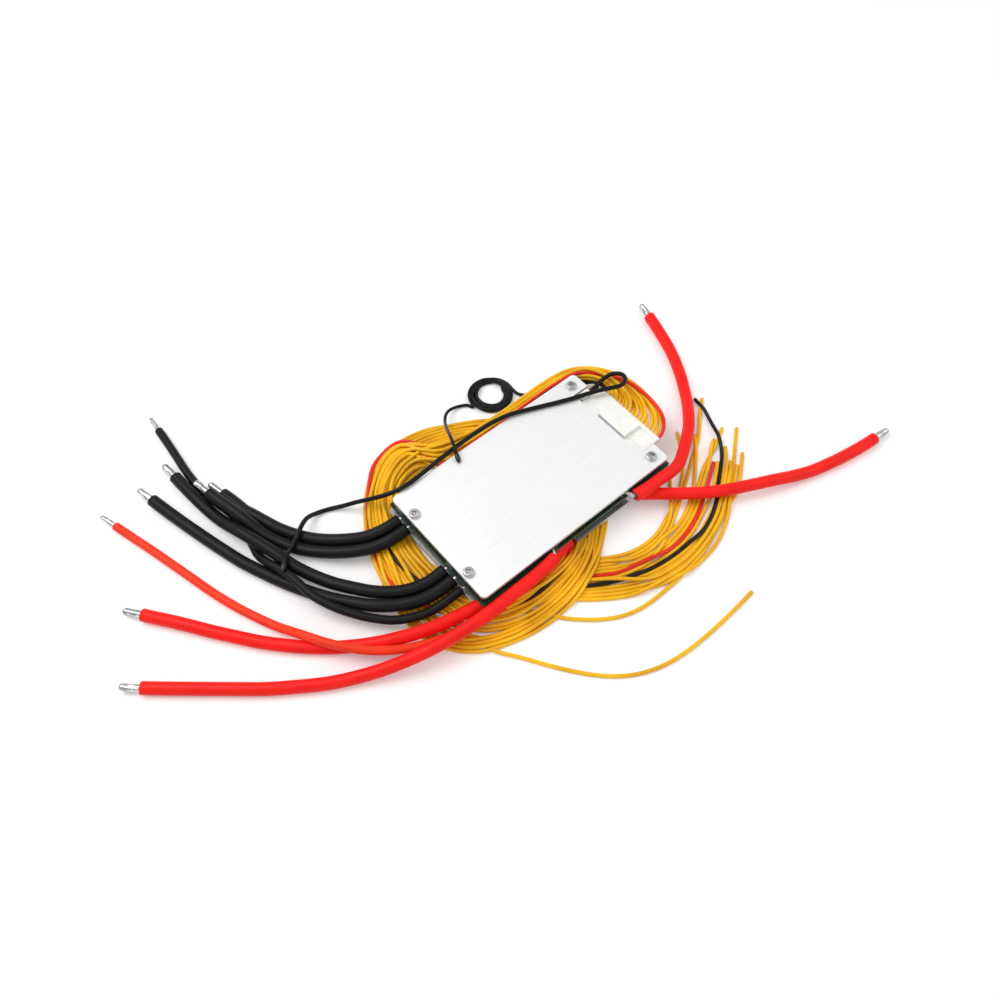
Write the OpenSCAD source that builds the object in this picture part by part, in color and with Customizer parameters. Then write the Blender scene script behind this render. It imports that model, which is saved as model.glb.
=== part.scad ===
// Battery management board: a circuit board between two aluminium plates, with its
// power leads, two temperature sensor cables and a 17-way balance harness.
// +X points from the black leads to the balance plug, +Z out of the cover plate.
// The origin is the middle of the box around the plates and the plug, without the cables.

/* [Cover plate] */
// Length of the cover plate along X
cover_l = 123; // [100:0.5:160]
// Width of the cover plate along Y
cover_w = 71.5; // [60:0.5:100]
// Thickness of the cover plate
cover_t = 2; // [1:0.1:4]
// Radius of the cover plate's corners
cover_r = 2.5; // [0.5:0.1:6]
// Clearance between the notch's walls and what stands in the notch
notch_clear = 0.2; // [0.1:0.1:1]
// Depth of the cover's notch for the connector
notch_d = 9.7; // [6:0.1:14]

/* [Circuit board] */
// How far the board stands out past the cover plate at each end
board_ledge_l = 0.8; // [0.3:0.1:2]
// How far the board stands out past the cover plate at each side
board_ledge_w = 0.85; // [0.3:0.05:2]
// Thickness of the circuit board
board_t = 1.6; // [0.8:0.1:3.2]
// Radius of the circuit board's corners
board_r = 0.8; // [0.3:0.1:4]

/* [Base plate] */
// How far the base plate stands out past the board at each end
base_ledge_l = 1; // [0.3:0.1:2]
// How far the base plate stands out past the board at each side
base_ledge_w = 0.8; // [0.3:0.1:2]
// Thickness of the base plate
base_t = 2; // [1:0.1:6]
// Radius of the base plate's corners
base_r = 1.2; // [0.3:0.1:4]
// Depth of the recess near the black leads, where red leads reach the board from below
recess_d = 8.4; // [6:0.1:12]
// Depth of the recess near the plug
recess_far_d = 4.2; // [3:0.1:12]
// Length of the recess near the black leads
recess_near_l = 61; // [40:0.5:70]
// Length of the recess near the plug
recess_far_l = 30; // [20:0.5:40]

/* [Stack] */
// Gap between the board and the cover plate
upper_gap = 3.4; // [2.5:0.1:8]
// Gap between the board and the base plate
lower_gap = 4.6; // [4:0.1:9]

/* [Screws and spacers] */
// Shank diameter of the screws
screw_d = 3; // [2:0.1:4]
// Diameter of the pan heads
head_d = 5.5; // [4:0.1:7]
// Height of the pan heads
head_h = 2; // [1.2:0.1:3]
// Clearance between a shank and the hole that it passes through
screw_clear = 0.4; // [0.1:0.1:1]
// Clearance between a shank and the tapped hole it is in
thread_clear = 0.1; // [0.05:0.05:0.3]
// Distance from the screw's end to the underside of the base plate
screw_short = 0.6; // [0.2:0.1:1.5]
// Outer diameter of the spacers
spacer_d = 5; // [4:0.1:7]
// Inset of the screws near the black leads, from the cover's end
screw_inset_near = 3.3; // [3:0.1:8]
// Inset of the screws near the plug, from the cover's end
screw_inset_far = 7; // [4:0.1:10]
// Spacing across the board of the screws near the black leads
screw_span_near = 41.6; // [30:0.1:60]
// Spacing across the board of the screws near the plug
screw_span_far = 60; // [54:0.1:66]

/* [Balance connector] */
// Number of ways in the balance connector
ways = 17; // [8:1:17]
// Pitch of the ways
pitch = 2.5; // [2:0.1:2.6]
// Shift of the connector and the sensor socket from the middle line, toward -Y
conn_shift = 0.2; // [0:0.1:1]
// Wall of the header
header_wall = 0.7; // [0.5:0.1:1]
// Clearance all round between the plug and the header
plug_clear = 0.1; // [0.05:0.05:0.3]
// Length of the plug along X
plug_l = 11.6; // [9:0.1:14]
// Distance that the plug stands out past the cover plate
plug_out = 5.8; // [3:0.1:8]
// Height of the header above the board
header_h = 3.3; // [3:0.1:4]
// Height of the plug's middle block above the board
latch_h = 5.8; // [4:0.1:7]
// Width of the plug's middle block
latch_w = 19; // [10:0.5:24]
// Diameter of the ways' mouths
way_d = 2.1; // [1.6:0.1:2.2]
// Side of the square pins
pin_t = 0.6; // [0.4:0.1:0.8]
// Width of the sensor socket
sensor_w = 3.8; // [3:0.1:4]

/* [Parts on the board] */
// Side of a power transistor's body
fet_w = 10; // [6:0.1:12]
// Length of a power transistor's body
fet_l = 8.8; // [6:0.1:10]
// Thickness of the pad between the transistors and the base plate
pad_t = 0.3; // [0.2:0.1:1]
// Distance from the screws and the header's pins to the rows' end transistors
fet_end = 12.2; // [11:0.1:16]
// Number of power transistors in a row
fets = 6; // [3:1:6]
// Height of a power transistor's tab
tab_t = 1.2; // [0.8:0.1:1.6]
// Number of balance cells
cells = 16; // [8:1:16]

/* [Leads and wires] */
// Outer diameter of the thick power leads
lead_d = 6.4; // [5:0.1:8]
// Diameter of the thick leads' conductor
core_d = 4; // [3:0.1:4.5]
// Outer diameter of the thinner power leads
thin_d = 4.4; // [3:0.1:5]
// Diameter of the thinner leads' conductor
thin_core_d = 2.6; // [2:0.1:3]
// Length of the tinned ends
tip_l = 10; // [6:0.5:14]
// Outer diameter of a balance wire
wire_d = 2; // [1.2:0.1:2.2]
// Outer diameter of the first sensor cable
sensor_a_d = 2.4; // [1.5:0.1:3]
// Outer diameter of the second sensor cable
sensor_b_d = 1.8; // [1.2:0.1:2.5]
// Height of the wire coil that the board lies on
coil_h = 4.2; // [3:0.1:6]

/* [Hidden] */
$fn = 48;
nil = 0.01;

// The board and the base plate follow the cover plate.
board_l = cover_l + 2 * board_ledge_l;
board_w = cover_w + 2 * board_ledge_w;
base_l = board_l + 2 * base_ledge_l;
base_w = board_w + 2 * base_ledge_w;

// Heights of the stack. The screw heads and the base plate's underside are its ends.
stack_h = base_t + lower_gap + board_t + upper_gap + cover_t + head_h;
base_z = -stack_h / 2;
pad_z = base_z + base_t;
board_z = pad_z + lower_gap;
board_top = board_z + board_t;
cover_z = board_top + upper_gap;
cover_top = cover_z + cover_t;
floor_z = base_z - coil_h;

// The plates' middle, which lies off the origin because the plug stands out past them.
plug_x1 = cover_l / 2 + plug_out;
mid_x = (base_l / 2 - plug_x1) / 2;

// Screw places, from the plates' middle.
near_x = -cover_l / 2 + screw_inset_near;
far_x = cover_l / 2 - screw_inset_far;
screw_at = [
    [near_x, screw_span_near / 2], [near_x, -screw_span_near / 2],
    [far_x, screw_span_far / 2], [far_x, -screw_span_far / 2]
];
hole_d = screw_d + screw_clear;
tapped_d = screw_d + 2 * thread_clear;

// The connector sits in the cover's notch, with the plug inside the header's walls.
notch_x = cover_l / 2 - notch_d;
header_gap = 1;
header_x0 = notch_x + header_gap;
header_end = 2.3;
header_w = (ways - 1) * pitch + 2 * header_end;
sensor_gap = 0.4;
conn_offset = (sensor_gap + sensor_w) / 2 + conn_shift;
plug_w = header_w - 2 * (header_wall + plug_clear);
plug_x0 = plug_x1 - plug_l;
header_x1 = board_l / 2 - header_gap;
header_back = plug_x0 - header_x0 - plug_clear;
header_floor = 0.5;
plug_z = board_top + header_floor + plug_clear;
way_z = board_top + 1.8;
strip_l = 2.6;
lock_gap = 0.3;
latch_x0 = header_x0 + 0.3;
crimp_l = 5;
crimp_clear = 0.15;
pin_reach = 6.5;
pin_tail = 1.3;
pin_tail_x = header_x0 - 0.8;
way_y = [for (i = [0 : ways - 1]) -conn_offset + ((ways - 1) / 2 - i) * pitch];

// The sensor socket stands between the header and the notch's wall.
sensor_y = -conn_offset + header_w / 2 + sensor_gap + sensor_w / 2;
sensor_h = 4.6;
sensor_pin = 0.9;
sensor_way_z = [board_top + 0.24 * sensor_h, board_top + 0.72 * sensor_h];
sensor_l = 7;
notch_w = 2 * (max(conn_offset + header_w / 2, sensor_y + sensor_w / 2) + notch_clear);
sensor_x0 = header_x0 + header_gap;

// Parts on the board.
fet_h = lower_gap - pad_t;
fet_row_y = [0.24 * cover_w, -0.12 * cover_w];
fet_x0 = near_x + fet_end;
fet_pitch = (pin_tail_x - fet_end - fet_x0) / (fets - 1);
leg_w = 0.9;

// Places on the board, as shares of its half length and half width.
half_l = board_l / 2;
half_w = board_w / 2;
bar_w = 5;
bar_t = 1.2;
edge_gap = 1;
pad_h = 1.6;
pad_l = 6;
pad_w = 4.6;
tail_pad_w = 4;
tail_pad_h = 1.4;
stub_d = 2;
thin_stub_d = 1.4;
joint_in = 1;
joint_gap = 1;
joint_x = mid_x - half_l + joint_in;
joint_y = -half_w + joint_in;

// Routes of the cables, in the part's own frame: x, y, z of the centreline.
black_lead_1_route = [
    [-65.7, 27.4, -1.9], [-71, 27.6, -2.2], [-77, 28.8, -3], [-84, 31.6, -4],
    [-91, 36.4, -4.8], [-98, 43, -6.2], [-103.8, 50.2, -7.8], [-108.6, 58, -8.8],
    [-112.8, 66, -8.8], [-115.8, 74, -8.8], [-118.6, 82, -8.8], [-120.2, 86, -8.8],
    [-120.9, 90, -8.8], [-122, 96, -8.8], [-123.4, 102, -8.8]
];
black_lead_2_route = [
    [-65.7, 21, -1.9], [-71, 21, -2.2], [-78, 22, -3], [-85, 24.6, -4],
    [-92.6, 29.2, -4.8], [-100.2, 35.8, -6.2], [-107, 43.6, -7.8], [-112.8, 51.6, -8.6],
    [-117.2, 60, -8.8], [-120.6, 68, -7.6], [-122.9, 77, -5.2], [-124.8, 85, -4.3],
    [-126.8, 93, -4.4], [-128.2, 99, -4.4], [-129.2, 104, -4.4]
];
black_lead_3_route = [
    [-65.7, -9, -1.9], [-71, -9, -2.4], [-77, -8.2, -3.2], [-84, -5.8, -3.8],
    [-91, -1.4, -4.4], [-98, 5, -4.5], [-104, 13, -5.2], [-109.6, 22, -6.6],
    [-114.6, 32, -7.4], [-119, 42, -6.4], [-122.2, 52, -4.6], [-125, 61, -4.1],
    [-127.4, 69, -4.2], [-129.8, 77, -5.1], [-131.8, 85, -7.4], [-133.4, 93, -8.6],
    [-134.6, 101, -8.8], [-135.6, 110, -8.8], [-136.4, 119, -8.8], [-137, 127, -8.8]
];
black_lead_4_route = [
    [-65.7, -15.6, -1.9], [-71, -15.6, -2.4], [-78, -14.8, -3.2], [-86, -12.4, -3.8],
    [-94, -7.6, -4.4], [-102, -1, -4.6], [-109, 7.6, -5.8], [-115.4, 17, -7.4],
    [-121, 27, -8.6], [-126.8, 38, -8.8], [-132, 49.6, -8.8], [-136.6, 61, -8.8],
    [-140.4, 73, -8.8], [-143.8, 85, -8.8], [-147, 97, -8.8], [-150, 109, -8.8],
    [-153, 122, -8.8]
];
thin_black_lead_route = [
    [-65.7, -22, -3], [-71, -21.6, -3.6], [-77, -21.4, -4.4], [-84, -20.2, -5.2],
    [-92, -17.2, -5.5], [-100, -12, -5.5], [-107, -4.6, -5.2], [-113, 3.6, -4.6],
    [-117.8, 12, -3.8], [-121.2, 20.6, -3.2], [-122.6, 28, -3], [-123.6, 36, -3.5],
    [-125.4, 44, -4.8], [-127.8, 52, -6.3], [-128.8, 60, -8.8], [-127.6, 68, -9.8],
    [-126.4, 76, -9.8], [-126, 84, -9.8], [-126.8, 92, -9.8], [-128.6, 100, -9.8],
    [-130, 108, -9.8], [-130.8, 117, -9.8], [-130.8, 127, -9.8], [-130, 138, -9.8],
    [-129.2, 149, -9.8], [-128.6, 160, -9.8]
];
red_lead_1_route = [
    [-8, -34.4, -4.5], [-13, -35.6, -4.5], [-20, -36.6, -4.5], [-29, -37, -4.5],
    [-38, -36.6, -4.5], [-47, -35.6, -4.5], [-56, -34.2, -4.5], [-65, -32.8, -4.5],
    [-75, -31, -4.5], [-85, -28.6, -4.5], [-95, -25.2, -4.5], [-104, -21, -5],
    [-113, -15.6, -6.6], [-121, -9.8, -8.2], [-129, -3.6, -8.8], [-137, 3.4, -8.8],
    [-145, 11.4, -8.8], [-153, 20.4, -8.8], [-160, 29.6, -8.8], [-167, 39, -8.8],
    [-173, 47.6, -8.8], [-179, 56, -8.8], [-184, 62.6, -8.8], [-188, 68, -8.8]
];
red_lead_2_route = [
    [-22, -39.8, 2.3], [-27, -40.4, 2.2], [-32, -40.8, 2], [-39, -41, 1.8],
    [-47, -41, 1.4], [-57, -41, 1.1], [-67, -40.8, 0.8], [-77, -40, 0.4],
    [-87, -38.6, -0.4], [-97, -36.4, -1.6], [-107, -33.2, -3.4], [-118, -28.6, -6],
    [-129, -23, -8.2], [-140, -17, -8.8], [-152, -9, -8.8], [-163, -1, -8.8],
    [-173, 7.4, -8.8], [-183, 16, -8.8], [-193, 24.6, -8.8], [-201, 31.6, -8.8],
    [-206, 36, -8.8]
];
red_lead_3_route = [
    [32, -39.8, 2.3], [37, -40.4, 2.3], [43, -40.8, 2.1], [49, -40.6, 1.6],
    [57, -40.8, 0.6], [65, -39.2, -0.8], [73, -35, -2.4], [81, -30, -4],
    [88.4, -25, -5.2], [95, -19, -6.2], [101.4, -12.4, -7.6], [107.2, -5.2, -8.6],
    [113, 3, -8.8], [118, 11.4, -8.8], [122.4, 20, -8.8], [126.4, 30, -8.8],
    [129.6, 39, -8.8], [132.2, 47, -8.8]
];
red_lead_4_route = [
    [36, -36.2, -4.5], [39, -38.8, -4.5], [43.4, -42.4, -4.5], [48.6, -46.8, -4.5],
    [54.6, -51.8, -4.5], [61.4, -57, -4.5], [69, -62.2, -4.5], [78, -67.4, -4.5],
    [88, -72.4, -4.5], [98.4, -77, -5.4], [109, -81.2, -7.4], [120, -85, -8.8],
    [131, -88, -8.8], [142, -90.4, -8.8], [153, -92.2, -8.8], [162, -93.2, -8.8]
];
orange_lead_route = [
    [-55, -40.4, -4.8], [-60, -40.4, -5.4], [-66, -40, -5.6], [-73, -39, -5.6],
    [-81, -37.2, -5.6], [-89, -34.4, -5.6], [-97, -31, -5.4], [-105, -27, -4.8],
    [-112, -22.4, -4], [-119, -16.6, -3.2], [-125, -9.8, -2.6], [-130.4, -2.4, -2.7],
    [-134.8, 5.6, -3.8], [-138.8, 14, -6.6], [-143, 23, -9.4], [-148, 34, -9.8],
    [-152.4, 45, -9.8], [-156.4, 57, -9.8], [-160, 70, -9.8], [-163.6, 83, -9.8],
    [-167.2, 96, -9.8], [-170.8, 108, -9.8], [-174.6, 121, -9.8]
];
sensor_a_route = [
    [58.9, 22.3, 3.7], [62, 22.4, 3.7], [66, 23, 3.9], [71, 23.4, 4.6], [75.4, 22, 6],
    [78.2, 17.8, 7.4], [76.4, 13.4, 8.4], [71.6, 12, 8.8], [66.4, 14.2, 8.6], [61, 17.6, 7.6],
    [54, 20.6, 7.1], [47, 23, 7.1], [40, 25.8, 7.1], [32, 29.2, 7.1], [24, 32.6, 7.2],
    [15, 36, 7.4], [5, 38.2, 7.2], [-6, 38.9, 7], [-17, 38.8, 7], [-28, 38.2, 7],
    [-39, 37.2, 7], [-49, 36.4, 7.1], [-57, 36.8, 7], [-64, 40.4, 4], [-70, 46, -0.6],
    [-75, 51.4, -5], [-80.6, 56.4, -9], [-86.6, 60.4, -10.8], [-93, 62, -10],
    [-98.4, 61, -7], [-103, 58, -4.4], [-107.6, 54.6, -3.6], [-112.4, 51.6, -3.9],
    [-116.2, 49.2, -3.8], [-118.6, 47.2, -1.7], [-120.6, 45.2, -0.9], [-122.6, 43.2, -0.9]
];
sensor_b_route = [
    [58.9, 22.3, 1.5], [62, 22.4, 1.5], [65.4, 23, 0.9], [68, 25, -0.6], [69.4, 28, -2.4],
    [69, 31.4, -3.8], [67, 34.6, -4.6], [63.6, 37.6, -5], [59, 40, -5.2], [53.4, 42, -5.8],
    [47.6, 44.4, -7], [42.4, 47.4, -8.6], [38.6, 50.8, -10], [36.6, 54.4, -11], [36.2, 58.8, -11]
];
sensor_b_tail_route = [
    [11.8, 63.2, -11], [9.8, 66.6, -11], [5, 69, -10.6], [-1, 68.6, -8.4], [-6, 65.4, -5.6],
    [-9.8, 61, -3.6], [-12.8, 56, -0.2], [-15.4, 51, 3.6], [-17.8, 46, 7], [-19.8, 41.6, 9],
    [-21.6, 37.6, 9.3], [-23, 34, 8]
];
sensor_coil_at = [24.4, 63.6];
sensor_coil_r = 11.6;
sensor_coil_hole = 6.8;
sensor_coil_h = 3.6;

// The bundle of balance wires runs between two edge lines.
bundle_inner = [
    [65.6, 18.6], [67.6, 18.9], [69.4, 20], [70.6, 21.8], [71.2, 24], [71.2, 26.6],
    [70.6, 29.4], [69, 32.4], [66.2, 35.4], [61.8, 38.2], [55, 38.8], [46, 38.8],
    [36, 38.8], [25, 38.8], [14, 38.8], [3, 38.8], [-8, 39], [-19, 39.4], [-29, 39.8], [-36, 40]
];
bundle_outer = [
    [65.6, -23.2], [73.6, -21.4], [80, -15.6], [84.2, -7.6], [86.4, 1.4], [86.8, 10.6],
    [85.2, 19.6], [81.6, 28], [75.6, 35.4], [67.4, 41.6], [57.4, 45.4], [47, 47],
    [36, 47.2], [25, 47.2], [14, 47.6], [3, 49], [-8, 52], [-19, 56], [-29, 59], [-36, 60]
];
// Its middle's height and its thickness at each point.
bundle_z = [
    2.2, 2.2, 2.2, 2.2, 2.2, 2.2, 2, 1.8, 1.6, 1.4, 1, 0.4, -0.4, -1.2, -2, -2.8, -3.6, -4.4, -5.6, -7.2
];
bundle_h = [
    2.2, 2.4, 2.8, 3.4, 4, 4.6, 5.2, 6, 6.8, 7.6, 8, 8, 8, 8, 8, 7.6, 7.2, 6.4, 4.2, 1
];

// The coil of balance wires under the board.
coil_at = [-32, 2.5];
coil_angle = 43;
coil_r = 59.5;
coil_band = 27;
coil_half = 11.5;

// The cut ends fan out between two guide lines.
// Each wire goes from its first share to its last one and stops at its reach.
fan_inner = [
    [3, -49.5], [11, -54], [20, -57.6], [30, -60], [40, -60.8], [49, -59.4],
    [56.4, -55.4], [62, -49.8], [66.8, -43.4], [72, -37.2], [77.4, -31], [82.6, -24.6],
    [87.4, -18], [92, -11.4], [96.4, -5]
];
fan_outer = [
    [-7, -63.5], [2, -68.8], [12, -73.6], [23.6, -77.4], [36, -79.8], [48.6, -80.8],
    [61, -79.8], [72.8, -77], [83.6, -72.4], [93, -66], [101, -58.2], [107.6, -49.6],
    [113, -40.4], [117.6, -30.8], [121.4, -21]
];
// First share, last share, reach, and the layer that the wire lies in.
fan_wires = [
    [0, 0, 0.81, 0], [0.125, 0.14, 0.87, 0], [0.25, 0.26, 0.83, 0], [0.375, 0.4, 0.9, 0],
    [0.5, 0.52, 0.79, 0], [0.625, 0.62, 0.98, 0], [0.75, 0.76, 0.86, 0],
    [0.875, 0.86, 0.73, 0], [1, 0.97, 0.85, 0], [0.06, 0.07, 0.74, 1],
    [0.185, 0.2, 0.76, 1], [0.31, 0.33, 0.87, 1], [0.74, 0.7, 0.82, 1], [0.9, 0.9, 0.83, 1]
];
fan_red = [0.6, 0.58, 0.71, 1];
fan_black = [0.46, 0.5, 1, 1];
fan_steps = 20;
loose_wire_route = [
    [-66, -60.8, -11], [-62.6, -66.6, -11], [-58.4, -73, -11], [-53.4, -80.4, -11],
    [-47.4, -88.4, -11], [-41, -95.8, -11], [-34, -101.6, -11], [-26, -106.4, -11],
    [-17, -109.6, -11], [-7, -111.4, -11], [4, -112.2, -11], [15, -112.2, -11],
    [26, -112, -11], [35, -111.4, -11], [43.6, -110.8, -11]
];

white = [0.95, 0.95, 0.93];
silver = [0.82, 0.83, 0.84];
tin = [0.72, 0.72, 0.7];
green = [0.02, 0.2, 0.12];
dark = [0.06, 0.06, 0.07];
red = [0.9, 0.08, 0.05];
orange = [0.95, 0.2, 0.05];
yellow = [0.95, 0.66, 0.05];

// ---- Helpers ----

// Puts a piece that is drawn from the plates' middle into the part's frame.
module on_board() {
    translate([mid_x, 0, 0]) children();
}

// A plate's outline with round corners, as squares and circles.
module rounded(l, w, r) {
    square([l - 2 * r, w], center = true);
    square([l, w - 2 * r], center = true);
    for (x = [-1, 1], y = [-1, 1])
        translate([x * (l / 2 - r), y * (w / 2 - r)]) circle(r);
}

module screw_holes(d) {
    for (p = screw_at)
        translate(p) circle(d = d);
}

// A block that runs from x0 to x1, centred at y, standing on z.
module block(x0, x1, y, w, z, h) {
    translate([x0, y - w / 2, z]) cube([x1 - x0, w, h]);
}

function unit(v) = v / norm(v);
function heading(p, i) = unit(p[min(i + 1, len(p) - 1)] - p[max(i - 1, 0)]);
function side_of(t) = unit(cross(t, [0, 0, 1]));

// A closed skin over rings of points, each ring with the same number of sides.
module skin(points, rings, sides) {
    walls = [
        for (i = [0 : rings - 2], k = [0 : sides - 1])
            let (n = (k + 1) % sides)
            [i * sides + k, (i + 1) * sides + k, (i + 1) * sides + n, i * sides + n]
    ];
    first = [for (k = [0 : sides - 1]) k];
    last = [for (k = [sides - 1 : -1 : 0]) (rings - 1) * sides + k];
    polyhedron(points, concat([first, last], walls));
}

// A tube of one diameter along a route.
module tube(route, d, sides) {
    points = [
        for (i = [0 : len(route) - 1])
            let (t = heading(route, i), s = side_of(t), u = cross(s, t))
            for (k = [0 : sides - 1])
                let (a = 360 * k / sides)
                route[i] + (s * cos(a) + u * sin(a)) * d / 2
    ];
    skin(points, len(route), sides);
}

// A flattened bundle between two edge lines, with its middle's height and its thickness.
module band(inner, outer, mids, heights, sides) {
    points = [
        for (i = [0 : len(inner) - 1], k = [0 : sides - 1])
            let (
                a = 360 * k / sides,
                c = (inner[i] + outer[i]) / 2,
                w = (outer[i] - inner[i]) / 2
            )
            [
                c[0] + w[0] * cos(a), c[1] + w[1] * cos(a),
                mids[i] + sin(a) * heights[i] / 2
            ]
    ];
    skin(points, len(inner), sides);
}

// Turns a piece that points along +Z to point along v.
module aimed(at, v) {
    translate(at)
        rotate([0, acos(v[2] / norm(v)), atan2(v[1], v[0])])
            children();
}

// The bare end of a lead: a rod that goes on in the line of the route's last points.
module bare_end(route, d) {
    n = len(route);
    aimed(route[n - 1], route[n - 1] - route[n - 2]) {
        cylinder(h = tip_l - d / 4, d = d, $fn = 24);
        translate([0, 0, tip_l - d / 4]) cylinder(h = d / 4, d1 = d, d2 = d * 0.6, $fn = 24);
    }
}

// A point of the fan: a mix of the two guide lines.
function guide_at(g, t) =
    let (n = len(g) - 1, f = min(t, 0.9999) * n, i = floor(f), r = f - i)
    g[i] * (1 - r) + g[i + 1] * r;
function fan_z(layer) = floor_z + wire_d / 2 + layer * wire_d;
function fan_route(w) = [
    for (k = [0 : fan_steps])
        let (
            t = w[2] * k / fan_steps,
            share = w[0] + (w[1] - w[0]) * t,
            p = guide_at(fan_inner, t) * (1 - share) + guide_at(fan_outer, t) * share
        )
        [p[0], p[1], fan_z(w[3])]
];

// ---- Plates, board and fasteners ----

module cover_plate() {
    color(white)
    on_board()
    translate([0, 0, cover_z])
    linear_extrude(cover_t)
    difference() {
        rounded(cover_l, cover_w, cover_r);
        translate([notch_x, -notch_w / 2]) square([notch_d + 1, notch_w]);
        screw_holes(hole_d);
    }
}

module base_plate() {
    color(silver)
    on_board()
    translate([0, 0, base_z])
    linear_extrude(base_t)
    difference() {
        rounded(base_l, base_w, base_r);
        translate([-base_l / 2 - 1, -base_w / 2 - 1])
            square([recess_near_l + 1, recess_d + 1]);
        translate([base_l / 2 - recess_far_l, -base_w / 2 - 1])
            square([recess_far_l + 1, recess_far_d + 1]);
        screw_holes(tapped_d);
    }
}

module circuit_board() {
    color(green)
    on_board()
    translate([0, 0, board_z])
    linear_extrude(board_t)
    difference() {
        rounded(board_l, board_w, board_r);
        screw_holes(hole_d);
        for (y = way_y)
            translate([pin_tail_x, y]) circle(d = 1, $fn = 16);
    }
}

// A pan head with a domed top and a cross recess.
module pan_head() {
    dome = 0.7;
    slot_w = 0.9;
    slot_l = 3;
    difference() {
        rotate_extrude() {
            square([head_d / 2, head_h - dome]);
            translate([0, head_h - dome]) square([head_d / 2 - dome, dome]);
            intersection() {
                translate([head_d / 2 - dome, head_h - dome]) circle(dome);
                square([head_d / 2, head_h]);
            }
        }
        for (a = [0, 90])
            rotate(a)
                translate([-slot_l / 2, -slot_w / 2, head_h - 1.1])
                    cube([slot_l, slot_w, 2]);
        translate([0, 0, head_h - 1.3]) cylinder(h = 1.4, d1 = 0.8, d2 = 2.2, $fn = 24);
    }
}

module cover_screws() {
    shank_l = cover_top - base_z - screw_short;
    color(silver)
    on_board()
    for (p = screw_at)
        translate([p[0], p[1], cover_top]) {
            translate([0, 0, -shank_l]) cylinder(h = shank_l + nil, d = screw_d);
            rotate(p[0] * 3) pan_head();
        }
}

module spacers(z, h) {
    color(silver)
    on_board()
    for (p = screw_at)
        translate([p[0], p[1], z])
            difference() {
                cylinder(h = h, d = spacer_d);
                translate([0, 0, -1]) cylinder(h = h + 2, d = screw_d + screw_clear);
            }
}

module upper_spacers() {
    spacers(board_top, upper_gap);
}

module lower_spacers() {
    spacers(pad_z, lower_gap);
}

// ---- Parts under the board ----

module fet_places() {
    for (y = fet_row_y, i = [0 : fets - 1])
        translate([fet_x0 + i * fet_pitch, y, board_z]) children();
}

// A moulded body hangs from the board, and its face lies on the thermal pad.
module power_transistors() {
    draft = 0.4;
    color(dark)
    on_board()
    fet_places()
    translate([0, 0, -fet_h])
    rotate([90, 0, 90])
    translate([0, 0, -fet_w / 2])
    linear_extrude(fet_w)
    polygon([
        [-fet_l / 2 + draft, 0], [fet_l / 2 - draft, 0],
        [fet_l / 2, fet_h / 2], [fet_l / 2, fet_h - tab_t], [-fet_l / 2, fet_h - tab_t],
        [-fet_l / 2, fet_h / 2]
    ]);
}

// The tab that is soldered to the board, and two gull-wing legs.
module transistor_metal() {
    leg_out = 2.6;
    leg_t = 0.5;
    leg_z = -fet_h / 2;
    color(tin)
    on_board()
    fet_places() {
        block(-fet_w / 2, fet_w / 2, 0.6, fet_l + 1.2, -tab_t, tab_t);
        for (x = [-2.54, 2.54])
            translate([x - leg_w / 2, -fet_l / 2, 0])
                rotate([90, 0, 90])
                    linear_extrude(leg_w)
                        polygon([
                            [0, leg_z], [-leg_out / 2, leg_z], [-leg_out, -leg_t],
                            [-leg_out - 1, -leg_t], [-leg_out - 1, 0], [-leg_out + leg_t, 0],
                            [-leg_out / 2 + leg_t / 2, leg_z + leg_t], [0, leg_z + leg_t]
                        ]);
    }
}

module thermal_pad() {
    edge = 1.5;
    x0 = fet_x0 - fet_w / 2 - edge;
    x1 = fet_x0 + (fets - 1) * fet_pitch + fet_w / 2 + edge;
    color([0.55, 0.56, 0.6])
    on_board()
    for (y = fet_row_y)
        block(x0, x1, y, fet_l + 2 * edge, pad_z, pad_t);
}

// ---- Parts on top of the board ----

// Bent metal strips that carry the whole current.
module shunt_resistors() {
    strip_w = 4;
    foot = 3;
    span = 12;
    rise = 1.6;
    t = 0.8;
    step = 6;
    color(tin)
    on_board()
    for (i = [0 : 3])
        translate([-0.6 * half_l + i * step, -0.46 * half_w, board_top])
            rotate([90, 0, 90])
                linear_extrude(strip_w)
                    polygon([
                        [-span / 2, 0], [-span / 2 + foot, 0], [-span / 2 + foot, rise],
                        [span / 2 - foot, rise], [span / 2 - foot, 0], [span / 2, 0],
                        [span / 2, t], [span / 2 - foot + t, t], [span / 2 - foot + t, rise + t],
                        [-span / 2 + foot - t, rise + t], [-span / 2 + foot - t, t],
                        [-span / 2, t]
                    ]);
}

// Tinned bars soldered along the current paths.
module bus_bars() {
    near = -half_l + edge_gap;
    front = -half_w + edge_gap + pad_w + edge_gap + bar_w / 2;
    color(tin)
    on_board() {
        block(near, -0.64 * half_l, 0.82 * half_w, bar_w, board_top, bar_t);
        block(near, -0.64 * half_l, -0.26 * half_w, bar_w, board_top, bar_t);
        block(-0.54 * half_l, 0.06 * half_l, front, bar_w, board_top, bar_t);
        block(0.32 * half_l, 0.74 * half_l, front, bar_w, board_top, bar_t);
        block(-0.54 * half_l, 0.32 * half_l, 0.06 * half_w, bar_w, board_top, bar_t);
    }
}

// Two rows of resistors that drain a cell each.
module balance_resistors() {
    chip_l = 6.4;
    chip_w = 3.2;
    chip_h = 0.6;
    row = ceil(cells / 2);
    step = 1.18 * half_l / row;
    color(dark)
    on_board()
    for (i = [0 : cells - 1])
        translate([-0.56 * half_l + (i % row) * step, (0.52 - 0.18 * floor(i / row)) * half_w, 0])
            block(0, chip_l, 0, chip_w, board_top, chip_h);
}

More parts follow.
